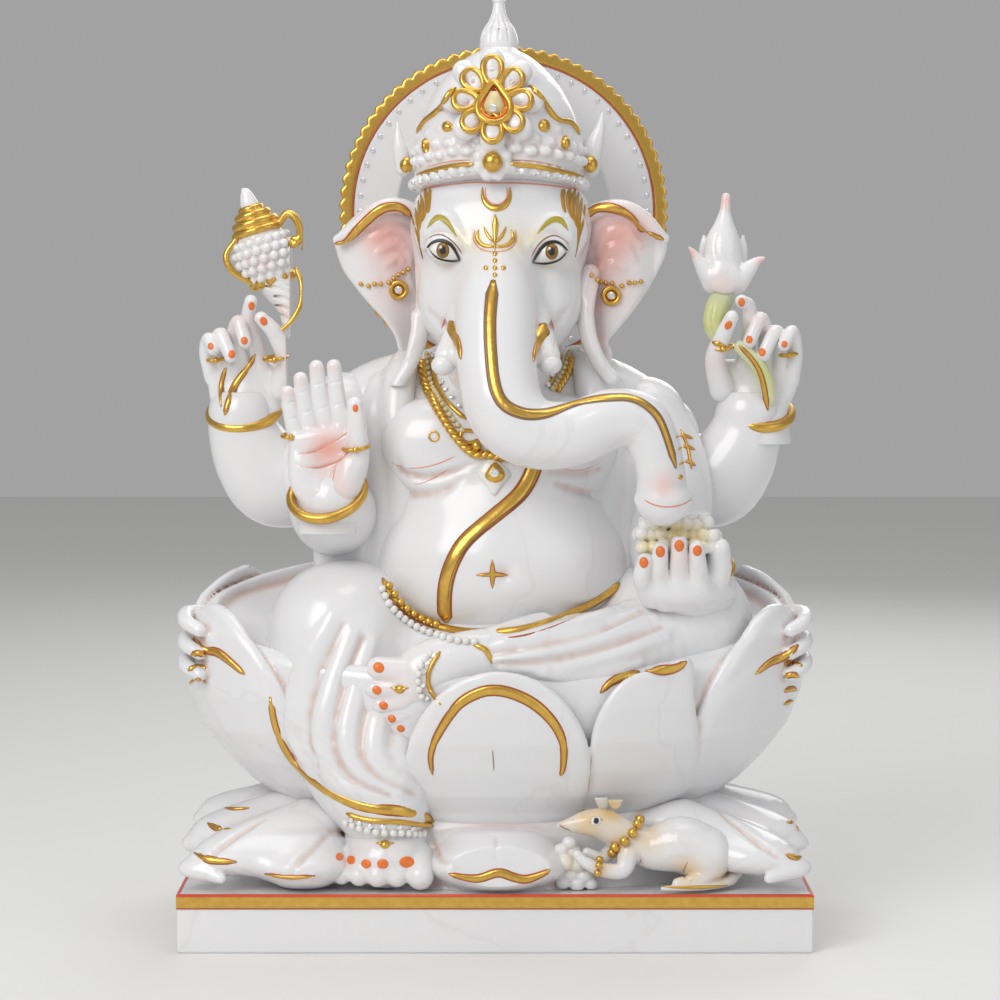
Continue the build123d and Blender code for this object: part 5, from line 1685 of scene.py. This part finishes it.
def dressFace():
    head = ("head",)
    gilded("trunkStripe", [([(-1.1, 425), (-3.5, 398.5), (-2.6, 374.6), (-0.3, 355.4), (6, 342.5),
                             (20.5, 336.2), (36.4, 337.5),
                             (54.3, 344.2), (76.8, 347.5), (92.7, 346.5), (105.6, 337.5), (112.6, 325),
                             (120.2, 300.5)],
                            [4.6, 4.4, 4.4, 4.2, 4.0, 3.2, 2.4])], outline=2.6, rim="umber", only=head,
           height=0.9)
    mark = Gather()
    mark.line([(0, 468), (0.3, 461.4), (0, 452.1), (0, 444.4)], [1.2, 4.2, 2.4, 1.0], 0.9, 0.3, head)
    mark.line([(-10.6, 458.1), (-11.9, 452.1), (-7.3, 447.5), (0, 446.8)], [1.2, 3.0, 2.6, 2.0], 0.9, 0.3,
              head)
    mark.line([(10.6, 458.1), (12.2, 452.1), (7.3, 447.5), (0, 446.8)], [1.2, 3.0, 2.6, 2.0], 0.9, 0.3,
              head)
    mark.line([(-7.3, 460.1), (-4.6, 454.1), (-0.7, 449.5)], [1.0, 2.2, 1.4], 0.9, 0.3, head)
    mark.line([(7.3, 460.1), (4.6, 454.1), (0.7, 449.5)], [1.0, 2.2, 1.4], 0.9, 0.3, head)
    mark.line([(-8.3, 485.9), (-7.9, 478.6), (-4, 473.3), (1, 472), (6, 473.3), (9.6, 478.6),
               (9.9, 485.9)], [1.2, 3.4, 4.4, 3.4, 1.2], 0.9, 0.3, head)
    for u, v in ((0, 442.2), (0, 437.6), (-6, 432.9), (5.6, 432.9), (0, 428.3), (0, 432.9)):
        mark.oval(u, v, 1.6, 1.6, 0, 0.8, 0.3, head, 12)
    mark.oval(123, 294.5, 1.6, 1.6, 0, 0.6, 0.3, head, 12)
    mark.piece("browMark", gold)
    painted("browMark.edge", "coral", [
        ([(-6.3, 485.9), (-6, 479.3), (-2.6, 475.6), (1, 474.6), (4.6, 475.6), (7.8, 479.3),
          (7.9, 485.9)], 0.9),
        ([(-13.2, 458.1), (-14.2, 450.8), (-8.6, 444.8), (0, 443.5), (8.6, 444.8), (14.2, 450.8),
          (13.2, 458.1)], 0.9)], only=head)
    whites, irises, pupils, glints, lids = (Gather() for _ in range(5))
    for shape, iris, upper, lower in (
            ([(-43.4, 445.8), (-40.4, 448.8), (-35.8, 450.1), (-30.5, 448.5), (-26.5, 443.9),
              (-23.8, 438.6), (-29.8, 438.5), (-35.8, 439.5), (-40.4, 442.2)],
             (-34.4, 444.5), [(-44.4, 445.5), (-41.1, 449.2), (-35.8, 450.8), (-30.1, 449.1),
                              (-25.8, 444.2), (-22.5, 437.6)],
             [(-43.1, 445.1), (-39.1, 440.5), (-34.4, 438.5), (-28.5, 437.6), (-22.5, 437.6)]),
            ([(25.5, 436.9), (28.5, 442.9), (32.5, 447.2), (37.4, 449.5), (42.4, 448.5), (46.7, 444.2),
              (43.1, 440.2), (37.8, 437.8), (31.8, 436.6)],
             (37.4, 443.7), [(24.2, 436.2), (28.1, 443.3), (32.2, 447.9), (37.4, 450.1), (42.8, 449.2),
                             (48, 443.9)],
             [(24.2, 436.2), (31.8, 435.8), (38.4, 436.9), (43.7, 439.5), (47, 443.5)])):
        whites.patch(closedPath(shape, 3), 0.5, 0.55, head, 6)
        irises.oval(*iris, 4.0, 4.6, 0, 0.5, 1.15, head, 20)
        pupils.oval(*iris, 1.9, 2.1, 0, 0.3, 1.75, head, 16)
        glints.oval(iris[0] - 1.2, iris[1] + 1.6, 0.7, 0.7, 0, 0.2, 2.1, head, 10)
        lids.line(upper, [1.0, 2.4, 2.6, 2.2, 1.0], 0.7, 0.9, head, rounds=8)
        lids.line(lower, [0.5, 1.0, 1.0, 0.8, 0.5], 0.5, 0.7, head, rounds=8)
    whites.piece("eyeWhites", paints["eyeWhite"], (), "marble")
    irises.piece("irises", paints["iris"], (), "marble")
    pupils.piece("pupils", paints["black"], (), "marble")
    glints.piece("eyeGlints", paints["eyeWhite"], (), "marble")
    lids.piece("lashes", paints["black"], (), "marble")
    painted("lidLines", "umber", [([(-45, 451.5), (-39.1, 454.8), (-32.5, 453.7), (-25.8, 448.2),
                                    (-21.9, 442.2)], 0.9),
                                  ([(23.8, 440.2), (28.5, 448.2), (35.1, 453.5), (41.7, 453.8),
                                    (48.4, 448.8)], 0.9)], only=head)
    painted("brows", "olive", [([(-45, 458.8), (-38.4, 466.4), (-31.8, 463.4), (-25.2, 453.5)],
                                [1.2, 4.6, 3.6, 1.2]),
                               ([(27.8, 455.4), (35.8, 463.7), (43.1, 464.7), (48.4, 457.4)],
                                [1.2, 3.6, 4.6, 1.2])], height=0.35, only=head)
    locks = Gather()
    hairTop = 484.6
    for top, middle, end, low in ((-57, -54.3, -47.7, 438.9), (-55, -51.7, -49, 444.2),
                                  (-52.3, -49.7, -51, 450.8), (-49.7, -47.7, -49.7, 457.4),
                                  (-46.4, -45, -47.7, 463.4), (-43.1, -43.1, -44.4, 469.4),
                                  (60.3, 58.3, 53, 440.2), (58.3, 55.6, 54.3, 445.5),
                                  (55.6, 53, 55.6, 452.1), (53, 50.3, 54.3, 458.8),
                                  (49.7, 47.7, 51.7, 464.7), (45.7, 44.4, 47, 470)):
        half = (hairTop + low) / 2
        locks.line([(top, hairTop), (middle, half + 2.6), ((middle + end) / 2, half - 6.6), (end, low)],
                   [3.6, 3.4, 2.6, 0.9], 0.8, 0.1, head)
    locks.piece("hair", paints["hair"], (), "marble")
    gilded("tuskBands", [([(-30.5, 397.2), (-27.2, 389.2), (-23.8, 381.3), (-22.5, 372.6)],
                          [5.4, 6.4, 4.8, 2.0]),
                         ([(33.8, 395.8), (30.5, 388.5), (27.2, 380.6), (25.2, 371.3)],
                          [5.4, 6.4, 4.8, 2.0])], outline=1.6, only=head + ("tuskEnds",))
    painted("cheekLines", "coral", [([(-31.8, 403.1), (-35.8, 391.2), (-35.8, 379.3)], 0.9),
                                    ([(35.8, 403.1), (39.1, 391.2), (38.4, 377.9)], 0.9),
                                    ([(99.3, 279.3), (106, 275.9), (115.9, 274.6), (125.2, 276.6),
                                      (131.8, 280.6)], 1.1)], only=None)
    rings = Gather()
    for u, v, y, r, tilt in ((-29.8, 371.3, -62, 6.6, 0.35), (31.8, 370, -62, 6.2, -0.35)):
        loop = [(at(u, v, y)[0] + r * math.cos(a), y + r * math.sin(a),
                 at(u, v, y)[2] + r * tilt * math.cos(a)) for a in np.linspace(0, 6.2832, 22,
                endpoint=False)]
        rings.tube([(p, 1.2) for p in loop], 8, closed=True)
    rings.piece("tuskRings", gold)


def dressEars():
    ears = ("rightEar", "leftEar")
    gilded("earEdges", [([(-106.3, 448.8), (-101.3, 449.5), (-96.7, 451.7), (-90.7, 458.1),
                          (-83.8, 464.7), (-77.5, 470), (-70.9, 472.9), (-62.3, 472.7), (-55.6, 466.7)],
                         [2.0, 4.0, 4.4, 3.2]),
                        ([(59.6, 466.7), (65.6, 471.7), (71.5, 472.7), (77.5, 472.3), (85.4, 469.4),
                          (91.4, 464.7), (96.7, 459.4), (102.7, 455.4), (111.3, 451.5)],
                         [3.2, 4.4, 4.0, 2.0])],
           only=ears, outline=1.4)
    clear, beads, studs = Gather(), Gather(), Gather()
    row = [(-88.3, 422.3), (-83.5, 421), (-79.5, 422.3), (-75.5, 422.3), (-70.5, 423.3), (-67.3, 426),
           (-64.2, 428.3), (-60.9, 429.9), (-57.6, 432.3),
           (63.8, 427.9), (66.9, 425), (70.2, 423.8), (73.5, 423), (77.5, 422.7), (83.9, 421),
           (88.4, 423), (92.1, 423), (96, 423.8)]
    beads.beads(row, 1.6)
    beads.piece("earBeads", gold)
    for u, v in ((-63.7, 418.4), (76.7, 414.7)):
        found = touch(u, v)
        if not found:
            continue
        place = found[0] + Vector((0, -2.2, 0))
        loop = [place + Vector((5.2 * math.cos(a), 0, 5.2 * math.sin(a))) for a in np.linspace(0, 6.2832,
                22, endpoint=False)]
        studs.tube([(p, 1.6) for p in loop], 10, closed=True)
        studs.tube([(place + Vector((0, 1.8, 0)), 4.6), (place + Vector((0, 0.2, 0)), 4.4)], 20)
        clear.gem(place + Vector((0, -0.6, 0)), (0, -1, 0), 2.6)
    studs.piece("earStuds", gold, ["ear_studs"])
    clear.piece("earStones", crystal, (), "clear_stone", smooth=False)


def dressChest():
    torso = ("torso", "shoulderShawl", "frontArm.right")
    outer = Gather()
    outer.rope([(-48.4, 371.3), (-46.4, 356.8), (-41.7, 345.5), (-34.4, 332.9), (-24.1, 318.7),
                (-13.9, 309.7), (-5.3, 309.7), (5, 307.3), (12.6, 312.4)], 2.9, torso, 9)
    outer.rope([(51, 373.3), (47, 362.1), (40.4, 351.5)], 2.6, torso, 9)
    outer.piece("outerNecklace", gold, ["necklace_outer"])
    inner = Gather()
    inner.line([(-41.7, 377), (-40.6, 363), (-34.4, 347.8), (-26.5, 338.9), (-19.2, 332.9)],
               [3.2, 3.6, 3.6], 1.6, 0.3, torso)
    inner.line([(44.4, 376.6), (40.4, 364.7), (35.1, 354.1)], 2.6, 1.4, 0.3, torso)
    inner.line([(-16.6, 334.2), (-9.9, 330.9), (-13.9, 325), (-21.9, 325.6), (-22.5, 319.7), (-16.6, 317),
                (-9.9, 319.7)], 2.8, 1.6, 0.3, torso)
    inner.line([(-7.3, 326.3), (1.3, 323.6), (3.3, 317), (-3.3, 314.4)], 2.6, 1.6, 0.3, torso)
    inner.beads([(-12.6, 315), (0, 313.7), (-5.3, 320.3)], 3.4, torso)
    inner.piece("innerNecklace", gold, ["necklace_inner"])
    pearls = Gather()
    pearls.chain([(-45, 375.3), (-43.7, 362.1), (-37.8, 346.8), (-29.8, 334.9), (-21.2, 324.3)], 1.9,
                 torso, 2.3)
    pearls.chain([(49, 376.6), (43.7, 363.4), (37.1, 351.5)], 1.9, torso, 2.3)
    pearls.piece("pearls", paints["cream"], (), "marble")
    clear = Gather()
    clear.gems([(-39.9, 374.6), (-37.8, 366), (-34.8, 357.4), (-32.5, 352.1), (-28.8, 346.8),
                (-23.8, 341.5), (-18.5, 336.2), (40.4, 370), (37.1, 362.1), (34.4, 355.4)], 2.1, torso,
               1.6)
    clear.piece("necklaceStones", crystal, (), "clear_stone", smooth=False)
    kite = Gather()
    kite.patch(closedPath([(-2.6, 307.3), (3.3, 304.4), (9.9, 297.1), (6, 290.5), (-0.7, 281.9),
                           (-6, 289.2), (-11.5, 297.1), (-7.3, 304.4)], 3), 3.0, 1.2, torso, 5)
    kite.piece("pendantStone", paints["eyeWhite"], (), "marble")
    drop = Gather()
    drop.patch(closedPath([(0, 303.8), (5.3, 298.5), (6, 293.2), (0, 289.9), (-6, 293.2), (-5.3, 298.5)],
                          3), 2.4, 4.6, torso, 5)
    drop.piece("pendant", gold, ["necklace_pendant"])
    clear = Gather()
    found = touch(0, 295.8, torso)
    if found:
        clear.gem(found[0] + found[1] * 7.0, found[1], 3.0)
        clear.piece("pendantGem", crystal, (), "clear_stone", smooth=False)
    gilded("sacredThread", [([(29.1, 313), (25.2, 298.5), (16.6, 283.2), (-1.3, 268), (-19.2, 252.8),
                              (-27.8, 238.9), (-32.5, 224.9), (-33.8, 211), (-33.1, 197.8)], 7.0)],
           ["sacred_thread"], outline=1.8, only=("torso",), height=1.5)
    painted("threadLine", "umber", [([(31.8, 310.4), (27.2, 295.8), (18.5, 279.9), (0.7, 265.4),
                                      (-16.6, 250.1), (-25.2, 236.9), (-29.8, 223.6), (-31.1, 209.7)],
                                     0.9)], height=1.9, only=("torso",))
    gilded("navelStar", [([(-1.7, 239.5), (-1.7, 229.6), (-1.7, 220.3)], [0.6, 2.6, 0.6]),
                         ([(-12.6, 229.2), (-1.7, 229.6), (8.6, 229.2)], [0.6, 2.4, 0.6])],
           outline=1.0, only=("torso",), height=0.6)
    belt = Gather()
    belt.line([(-74.8, 226.9), (-69.5, 215), (-58.3, 204.4), (-45.7, 197.1), (-26.5, 191.8),
               (-1.3, 190.5), (23.8, 193.8), (49.4, 202.8), (70.9, 214.4), (82.8, 223.6)],
              5.6, 2.2, 0.4, ("torso", "dhoti"), jump=20, rounds=10)
    belt.chain([(-72.2, 220.3), (-62.9, 207.7), (-49.7, 198.5), (-33.8, 192.5)], 3.0, ("torso", "dhoti"),
               2.1, 0.3, 0.6)
    belt.piece("waistBelt", gold, ["belt"])
    painted("beltLine", "rust", [([(-74.8, 223.6), (-69.5, 211.7), (-58.3, 201.1), (-45.7, 193.8),
                                   (-26.5, 187.9), (-1.3, 186.5), (23.8, 189.8), (49.4, 199.1),
                                   (70.9, 211), (82.1, 220.3)], 1.2)],
            only=("torso", "dhoti"))
    frill = Gather()
    frill.chain([(-76.2, 219), (-70.9, 208.4), (-60.3, 198.5), (-47, 191.2), (-28.5, 185.2),
                 (-9.9, 183.9)], 2.6, None, 2.0)
    frill.piece("beltFrill", paints["eyeWhite"], (), "marble")
    ring = Gather()
    loop = []
    u, v = (-40.6, 321.6)
    for a in np.linspace(0, 2 * math.pi, 20, endpoint=False):
        found = touch(u + 3.2 * math.cos(a), v + 3.2 * math.sin(a), ("torso",))
        if found:
            loop.append((found[0] + found[1] * 0.2, 0.7))
    ring.tube(loop, 8, closed=True)
    ring.piece("chestRing", gold)
    painted("chestLines", "coral", [([(-68.4, 304.4), (-60.9, 300.8), (-48.4, 300.8), (-36.8, 303.8),
                                      (-26.5, 308.4)], 0.7),
                                    ([(-59.6, 288.5), (-45.7, 291.2), (-31.1, 299.8)], 0.6),
                                    ([(37.1, 303.8), (53, 298.5), (69.5, 303.8)], 0.7)], only=("torso",))
    gilded("armletLines", [([(119.9, 321), (125.2, 322.3), (131.1, 320.3)], 1.7),
                           ([(121.2, 313), (126.5, 315), (132.5, 313)], 1.7),
                           ([(122.5, 303.1), (127.8, 305.1), (133.1, 302.4)], 1.7),
                           ([(123.2, 326.3), (127.8, 314.4), (130.5, 299.8)], 1.6)], outline=0.8)


def ringRound(gather, centre, wide, deep, drop, thick, tilt=0.0, sides=12):
    # a bangle round a wrist; its front hangs lower by drop
    loop = []
    for a in np.linspace(0, 2 * math.pi, 40, endpoint=False):
        x, y = wide * math.cos(a), deep * math.sin(a)
        loop.append(((centre[0] + x, centre[1] + y, centre[2] + drop * math.sin(a) + tilt * x), thick))
    gather.tube(loop, sides, closed=True)


def dressHands():
    for name, node, u, v, y, wide, deep, drop, thick, tilt in (
            ("bangle.rearRight", "bangle_rear_right", -166.2, 338.2, 25, 22.5, 22.5, 10.5, 3.6, 0.06),
            ("bangle.rearLeft", "bangle_rear_left", 173.5, 338.9, 25, 22.5, 22.5, 10.5, 3.6, -0.06),
            ("bangle.frontRight", "bangle_front_right", -111.3, 283.9, -55, 23.5, 20, 15, 3.2, 0.12),
            ("bangle.frontLeft", "bangle_front_left", 137.1, 229.6, -56, 20, 18, 8, 2.4, 0.3)):
        bangle, seams = Gather(), Gather()
        ringRound(bangle, at(u, v, y), wide, deep, drop, thick, tilt)
        for rise in (-1, 1):
            place = at(u, v, y)
            ringRound(seams, (place[0], place[1], place[2] + rise * thick * 0.92), wide, deep, drop, 0.55,
                      tilt, 6)
        bangle.piece(name, gold, [node])
        seams.piece(name + ".edge", paints["rust"], (), "marble")
    gilded("handLines", [([(-158.4, 376), (-163.6, 367.4), (-172.5, 355.4), (-176.8, 344.8),
                           (-179, 335.6)], [1.6, 3.4, 2.4]), ([(-178.2, 367), (-181.5, 355.4),
            (-181.5, 340.9)], 1.8),
                         ([(159, 377.3), (150.3, 381.9), (143.7, 383.9)], 2.6),
                         ([(161.3, 381.9), (170.2, 372.6), (176.8, 360.7), (180.8, 338.9)],
                          [1.6, 2.0, 2.6])], outline=1.0)
    rings = Gather()
    for u, v, y, r in ((-134.5, 322.5, -58, 6.4), (-92.1, 314.4, -64, 8.4), (-145.2, 373.6, 7, 7.8),
                       (-184.1, 373.3, 14, 6.4), (150.3, 380.6, 7, 7.8), (194.1, 376.6, 14, 6.4)):
        place = at(u, v, y)
        ringRound(rings, place, r, r, 1.2, 1.25, 0.1, 8)
        rings.bead((place[0], place[1] - r - 0.6, place[2] - 1.2), 2.2)
    rings.piece("fingerRings", gold)
    nails = Gather()
    for u, v, a, b, turn in ((-188.1, 381.3, 1.9, 2.3, 0), (-174.2, 376, 2.3, 2.7, 0),
                             (-165.8, 384.9, 2.2, 2.6, 0), (-160.9, 407.8, 2.1, 2.8, 0),
                             (-153, 397.8, 2.3, 3.0, 30),
                             (191.4, 382.6, 1.9, 2.3, 0), (176.8, 377.3, 2.3, 2.7, 0),
                             (168.2, 385.6, 2.2, 2.6, 0), (162.9, 410.4, 2.2, 2.9, 0),
                             (154.3, 395.2, 2.2, 3.1, -30),
                             (99, 237.5, 2.9, 3.6, 0), (109.9, 244.8, 3.0, 3.8, 0),
                             (122.5, 248.8, 3.1, 3.9, 0), (134.5, 245.5, 2.9, 3.6, 0),
                             (-92.5, 340.2, 1.8, 2.6, 0)):
        nails.oval(u, v, a, b, turn, 0.5, 0.25)
    for u, v, a, b, turn in ((-104.1, 39.8, 2.6, 2.6, 0), (-96.4, 37.5, 2.9, 2.9, 0),
                             (-86.2, 34.9, 3.4, 3.1, 0), (-75.2, 34.9, 3.8, 3.3, 0),
                             (-59.1, 36.2, 5.0, 3.8, 0),
                             (-77.5, 167.3, 3.4, 3.8, 60), (-78.8, 152.1, 2.8, 3.2, 60),
                             (-74.4, 141.8, 2.7, 3.1, 60), (-68.9, 132.9, 2.5, 2.9, 60),
                             (-62.9, 126.3, 2.3, 2.7, 60)):
        nails.oval(u, v, a, b, turn, 0.5, 0.25)
    nails.piece("nails", paints["orange"], (), "marble")
    painted("palmLines", "coral", [([(-131.1, 309.7), (-119.2, 311.7), (-104, 319.7), (-98, 324.3)], 0.7),
                                   ([(-133.1, 302.4), (-118.6, 300.5), (-102.7, 305.8), (-96, 313.7)],
                                    0.7),
                                   ([(-104, 278.6), (-108, 290.5), (-105.3, 302.4)], 0.7)],
            only=("raisedHand",))
    toe = Gather()
    for u, v in ((-73.7, 48.1), (-63.6, 152.8)):
        toe.oval(u, v, 3.4, 3.0, 0, 1.8, 0.4)
        toe.line([(u - 6, v + 1), (u, v), (u + 6, v + 1)], 1.6, 1.0, 0.3)
    toe.piece("toeRings", gold)


def dressLegs():
    gilded("hem", [([(-150.1, 147.5), (-145.7, 123.9), (-133.8, 102), (-117.2, 86.8), (-96.7, 75.9),
                     (-78.2, 71.6), (-61.6, 70.6), (-41.1, 64)], [2.6, 3.8, 4.6, 4.6, 5.4])],
           outline=1.5, jump=16)
    right = Gather()
    right.line([(-99.3, 69.3), (-90.7, 66), (-79.5, 64), (-66.2, 63.7), (-53, 62), (-41.7, 60.7)], 3.6,
               2.0, 0.4, None, jump=12, rounds=8)
    right.piece("anklet.right", gold, ["anklet_right"])
    left = Gather()
    left.line([(-36.4, 177.9), (-41.7, 170), (-45, 160.7), (-43.1, 151.4), (-35.8, 142.2)], 3.0, 1.8, 0.4,
              None, jump=14, rounds=8)
    left.line([(-14.6, 182.6), (-6, 179.2), (-2, 170)], [3.4, 3.8, 2.6], 1.2, 0.3)
    left.piece("anklet.left", gold, ["anklet_left"])
    clear, frill = Gather(), Gather()
    clear.gems([(-96, 64.7), (-90.7, 62.7), (-83.5, 60.7), (-74.8, 60), (-63.9, 60), (-55.6, 58.7),
                (-49, 57.4), (-41.1, 175.3), (-45, 170.6), (-47.4, 164.7), (-48, 155.4), (-45, 146.8)],
               2.0, None, 0.8)
    clear.piece("ankletStones", crystal, (), "clear_stone", smooth=False)
    frill.chain([(-98.7, 63.3), (-89.4, 59.4), (-74.8, 56.7), (-60.3, 56.7), (-47, 54.7)], 2.5, None, 2.1)
    frill.chain([(-43.1, 175.9), (-49.7, 167.3), (-51, 155.4), (-47.7, 144.8)], 2.3, None, 2.1)
    frill.piece("ankletBeads", paints["eyeWhite"], (), "marble")


def dressLotus():
    bowlOnly = ("lotusBowl",)
    gilded("petalArch", [([(-41.7, 95.1), (-43.1, 108.4), (-37.8, 122.9), (-25.5, 141.5), (-13.2, 149.4),
                           (-2.6, 152.1), (9.9, 150.5), (25.2, 143.5), (38.4, 131.2), (45.7, 116.3),
                           (45.5, 99.8), (43.7, 94.5)],
                          [0.8, 3.0, 4.6, 5.0, 4.6, 3.0, 0.8])], outline=1.6, only=bowlOnly)
    gilded("petalEdges", [([(70.2, 150.1), (79.5, 159), (100, 164.9), (118.6, 166), (127.8, 171.3)],
                           [1.6, 4.0, 4.4, 2.0]),
                          ([(173.5, 162.7), (183.5, 170.9), (193.4, 174.9), (202, 182.6)],
                           [1.4, 3.8, 2.0]),
                          ([(-200.7, 187.5), (-194.1, 179.9), (-184.8, 177.5), (-176.2, 170.9),
                            (-166.9, 162.7)], [1.4, 4.0, 2.0])], outline=1.6, only=bowlOnly)
    curls = []
    for side, u, heights in ((1, -202.7, (175.9, 167.3, 158.1)), (-1, 202.7, (170, 161.4, 152.1, 143.5))):
        for v in heights:
            curls.append(([(u - side * 2, v - 2), (u + side * 4, v + 1.3), (u + side * 10, v - 0.7)],
                          2.4))
    gilded("petalCurls", curls, outline=1.2, only=bowlOnly)
    painted("petalLines", "umber", [([(-1.7, 111.7), (-1.1, 105.1), (-0.7, 97.8)], 0.6),
                                    ([(62.9, 119.6), (64.2, 103.1), (61.6, 79.9)], 0.5)], only=bowlOnly)
    apron = ("petalApron",)
    gilded("apronEdges", [([(-203.3, 43.5), (-191.4, 37.5), (-172.9, 36.2)], [1.6, 3.4, 1.4]),
                          ([(-192.3, 62.7), (-185.5, 58.7), (-176.8, 58.7)], [1.4, 3.0, 1.2]),
                          ([(-154.3, 28.2), (-137.1, 25.6), (-120.5, 26.9)], [1.2, 2.6, 1.2]),
                          ([(-31.1, 28.2), (-19.9, 25.6), (-9.9, 25.1), (2, 29.2), (11.3, 26.2),
                            (20.5, 24.3), (30.5, 27.6), (37.1, 30.9)], [1.2, 3.4, 3.8, 3.4, 1.2]),
                          ([(194.1, 41.5), (202, 38.8), (207.3, 42.1)], [1.4, 3.4, 1.4]),
                          ([(195.4, 62.7), (200.7, 63.3), (202.7, 57.4)], [1.4, 3.2, 1.4]),
                          ([(-183.5, 73.3), (-174.2, 72), (-164.3, 72.6)], [1.2, 2.6, 1.2])], outline=1.5,
           only=apron)


def dressPlinth():
    wide, deep = 201.0, 115.0
    for name, low, high, out, colour in (("plinthBand", 29.2, 35.9, 0.55, gold),
                                         ("plinthRedLine", 35.9, 37.25, 0.5, paints["red"]),
                                         ("plinthBrownLine", 28.2, 29.2, 0.5, paints["rust"])):
        gather = Gather()
        loop = []
        for sx, sy in ((-1, -1), (1, -1), (1, 1), (-1, 1)):
            corner = (sx * (wide + out), sy * (deep + out))
            inside = (sx * (wide - 1.4), sy * (deep - 1.4))
            loop.append([(*corner, low), (*corner, high), (*inside, high), (*inside, low)])
        points = [p for corner in loop for p in corner]
        faces = []
        for i in range(4):
            j = (i + 1) % 4
            for k in range(4):
                faces.append((i * 4 + k, j * 4 + k, j * 4 + (k + 1) % 4, i * 4 + (k + 1) % 4))
        gather.add(points, faces)
        gather.piece(name, colour, (), "gilding" if colour is gold else "marble", smooth=False)
    front = Gather()
    front.tube([((-200, -114.4, 37.0), 0.9), ((200, -114.4, 37.0), 0.9)], 8)
    front.piece("plinthTopLine", paints["red"], (), "marble")


def dressMouse():
    body = ("mouse",)
    whites, irises = Gather(), Gather()
    whites.oval(67.6, 64, 3.4, 2.8, 20, 0.8, 0.3, body)
    irises.oval(67.6, 64, 1.8, 1.9, 0, 0.5, 1.0, body)
    whites.piece("mouseEyeWhite", paints["eyeWhite"], (), "marble")
    irises.piece("mouseEye", paints["black"], (), "marble")
    painted("mouseLines", "umber", [([(63.6, 62.7), (67.6, 66.9), (72.2, 64)], 0.8),
                                    ([(43.1, 61.4), (45.7, 59.4), (51, 57.4)], 0.7),
                                    ([(98, 38.8), (96.7, 32.9), (100, 28.2)], 0.6),
                                    ([(129.2, 36.2), (125.8, 28.2), (131.8, 22.9)], 0.6),
                                    ([(61.6, 72), (64.2, 75.3), (67.6, 72.6)], 1.6)], only=body)
    collar = Gather()
    collar.chain([(97.4, 69.3), (96.4, 63.3), (93.4, 57.4), (89.4, 52.1), (84.1, 47.4), (78.2, 44.1)],
                 3.3, body, 1.9, 0.1)
    collar.piece("mouseCollar", gold, ["mouse_collar"])
    cuff = Gather()
    cuff.chain([(69.5, 37.5), (69.3, 32.9), (68.9, 27.6)], 2.4, body, 1.5, 0.2)
    cuff.line([(111.9, 19.3), (135.8, 19), (159.6, 20.6)], [1.2, 2.6, 1.4], 0.8, 0.3)
    cuff.piece("mouseGilding", gold)


def coverDowels():
    # the dowels stay as they are, in brushed steel
    steel = newMaterial("brushedSteel", (0.56, 0.57, 0.58), 0.35, metallic=1.0)
    surfaceNoise(steel, 300, 4, 0.25, 0.5, 0.15, 0.0003)
    for name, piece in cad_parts.items():
        if "dowel" in name:
            piece.data.materials.clear()
            piece.data.materials.append(steel)


dressCrown()
dressHalo()
dressFace()
dressEars()
dressChest()
dressHands()
dressLegs()
dressLotus()
dressPlinth()
dressMouse()
coverDowels()


# Camera, lights and floor
def makeStudio():
    cameraData = bpy.data.cameras.new("viewpoint")
    cameraData.lens = studio["lens"]
    cameraData.sensor_width = studio["sensor"]
    cameraData.shift_x = studio["shiftX"]
    cameraData.clip_end = 50
    camera = bpy.data.objects.new("viewpoint", cameraData)
    bpy.context.scene.collection.objects.link(camera)
    camera.location = (0, studio["eyeY"] * metre, studio["eyeZ"] * metre)
    camera.rotation_euler = (math.radians(90 - studio["tilt"]), 0, 0)
    bpy.context.scene.camera = camera
    bpy.context.scene.view_settings.view_transform = "Standard"
    for name, power, size, place, tone in (
            ("keyLight", studio["keyPower"], 1.4, (-1.1, -1.6, 1.5), (1, 0.99, 0.97)),
            ("fillLight", studio["fillPower"], 1.6, (1.5, -1.5, 0.9), (0.96, 0.98, 1)),
            ("topLight", studio["topPower"], 1.2, (0.1, 0.1, 1.9), (1, 1, 1)),
            ("backLight", studio["backPower"], 1.0, (0.5, 1.6, 1.2), (1, 1, 1))):
        data = bpy.data.lights.new(name, "AREA")
        data.energy = power
        data.size = size
        data.color = tone
        light = bpy.data.objects.new(name, data)
        bpy.context.scene.collection.objects.link(light)
        light.location = place
        aim = Vector((0, 0, 0.3)) - Vector(place)
        light.rotation_euler = aim.to_track_quat("-Z", "Y").to_euler()
    world = bpy.data.worlds.new("softRoom")
    bpy.context.scene.world = world
    world.use_nodes = True
    world.node_tree.nodes["Background"].inputs["Color"].default_value = (studio["worldGrey"],) * 3 + (1,)
    world.node_tree.nodes["Background"].inputs["Strength"].default_value = 1.0
    floorData = bpy.data.meshes.new("floor")
    floorData.from_pydata([(-4, -3, 0), (4, -3, 0), (4, 4, 0), (-4, 4, 0)], [], [(0, 1, 2, 3)])
    floor = bpy.data.objects.new("floor", floorData)
    bpy.context.scene.collection.objects.link(floor)
    paper = newMaterial("palePaper", (0.80, 0.80, 0.79), 0.7)
    surfaceNoise(paper, 30, 3, 0.6, 0.8, 0.02, 0.0005)
    floorData.materials.append(paper)


makeStudio()
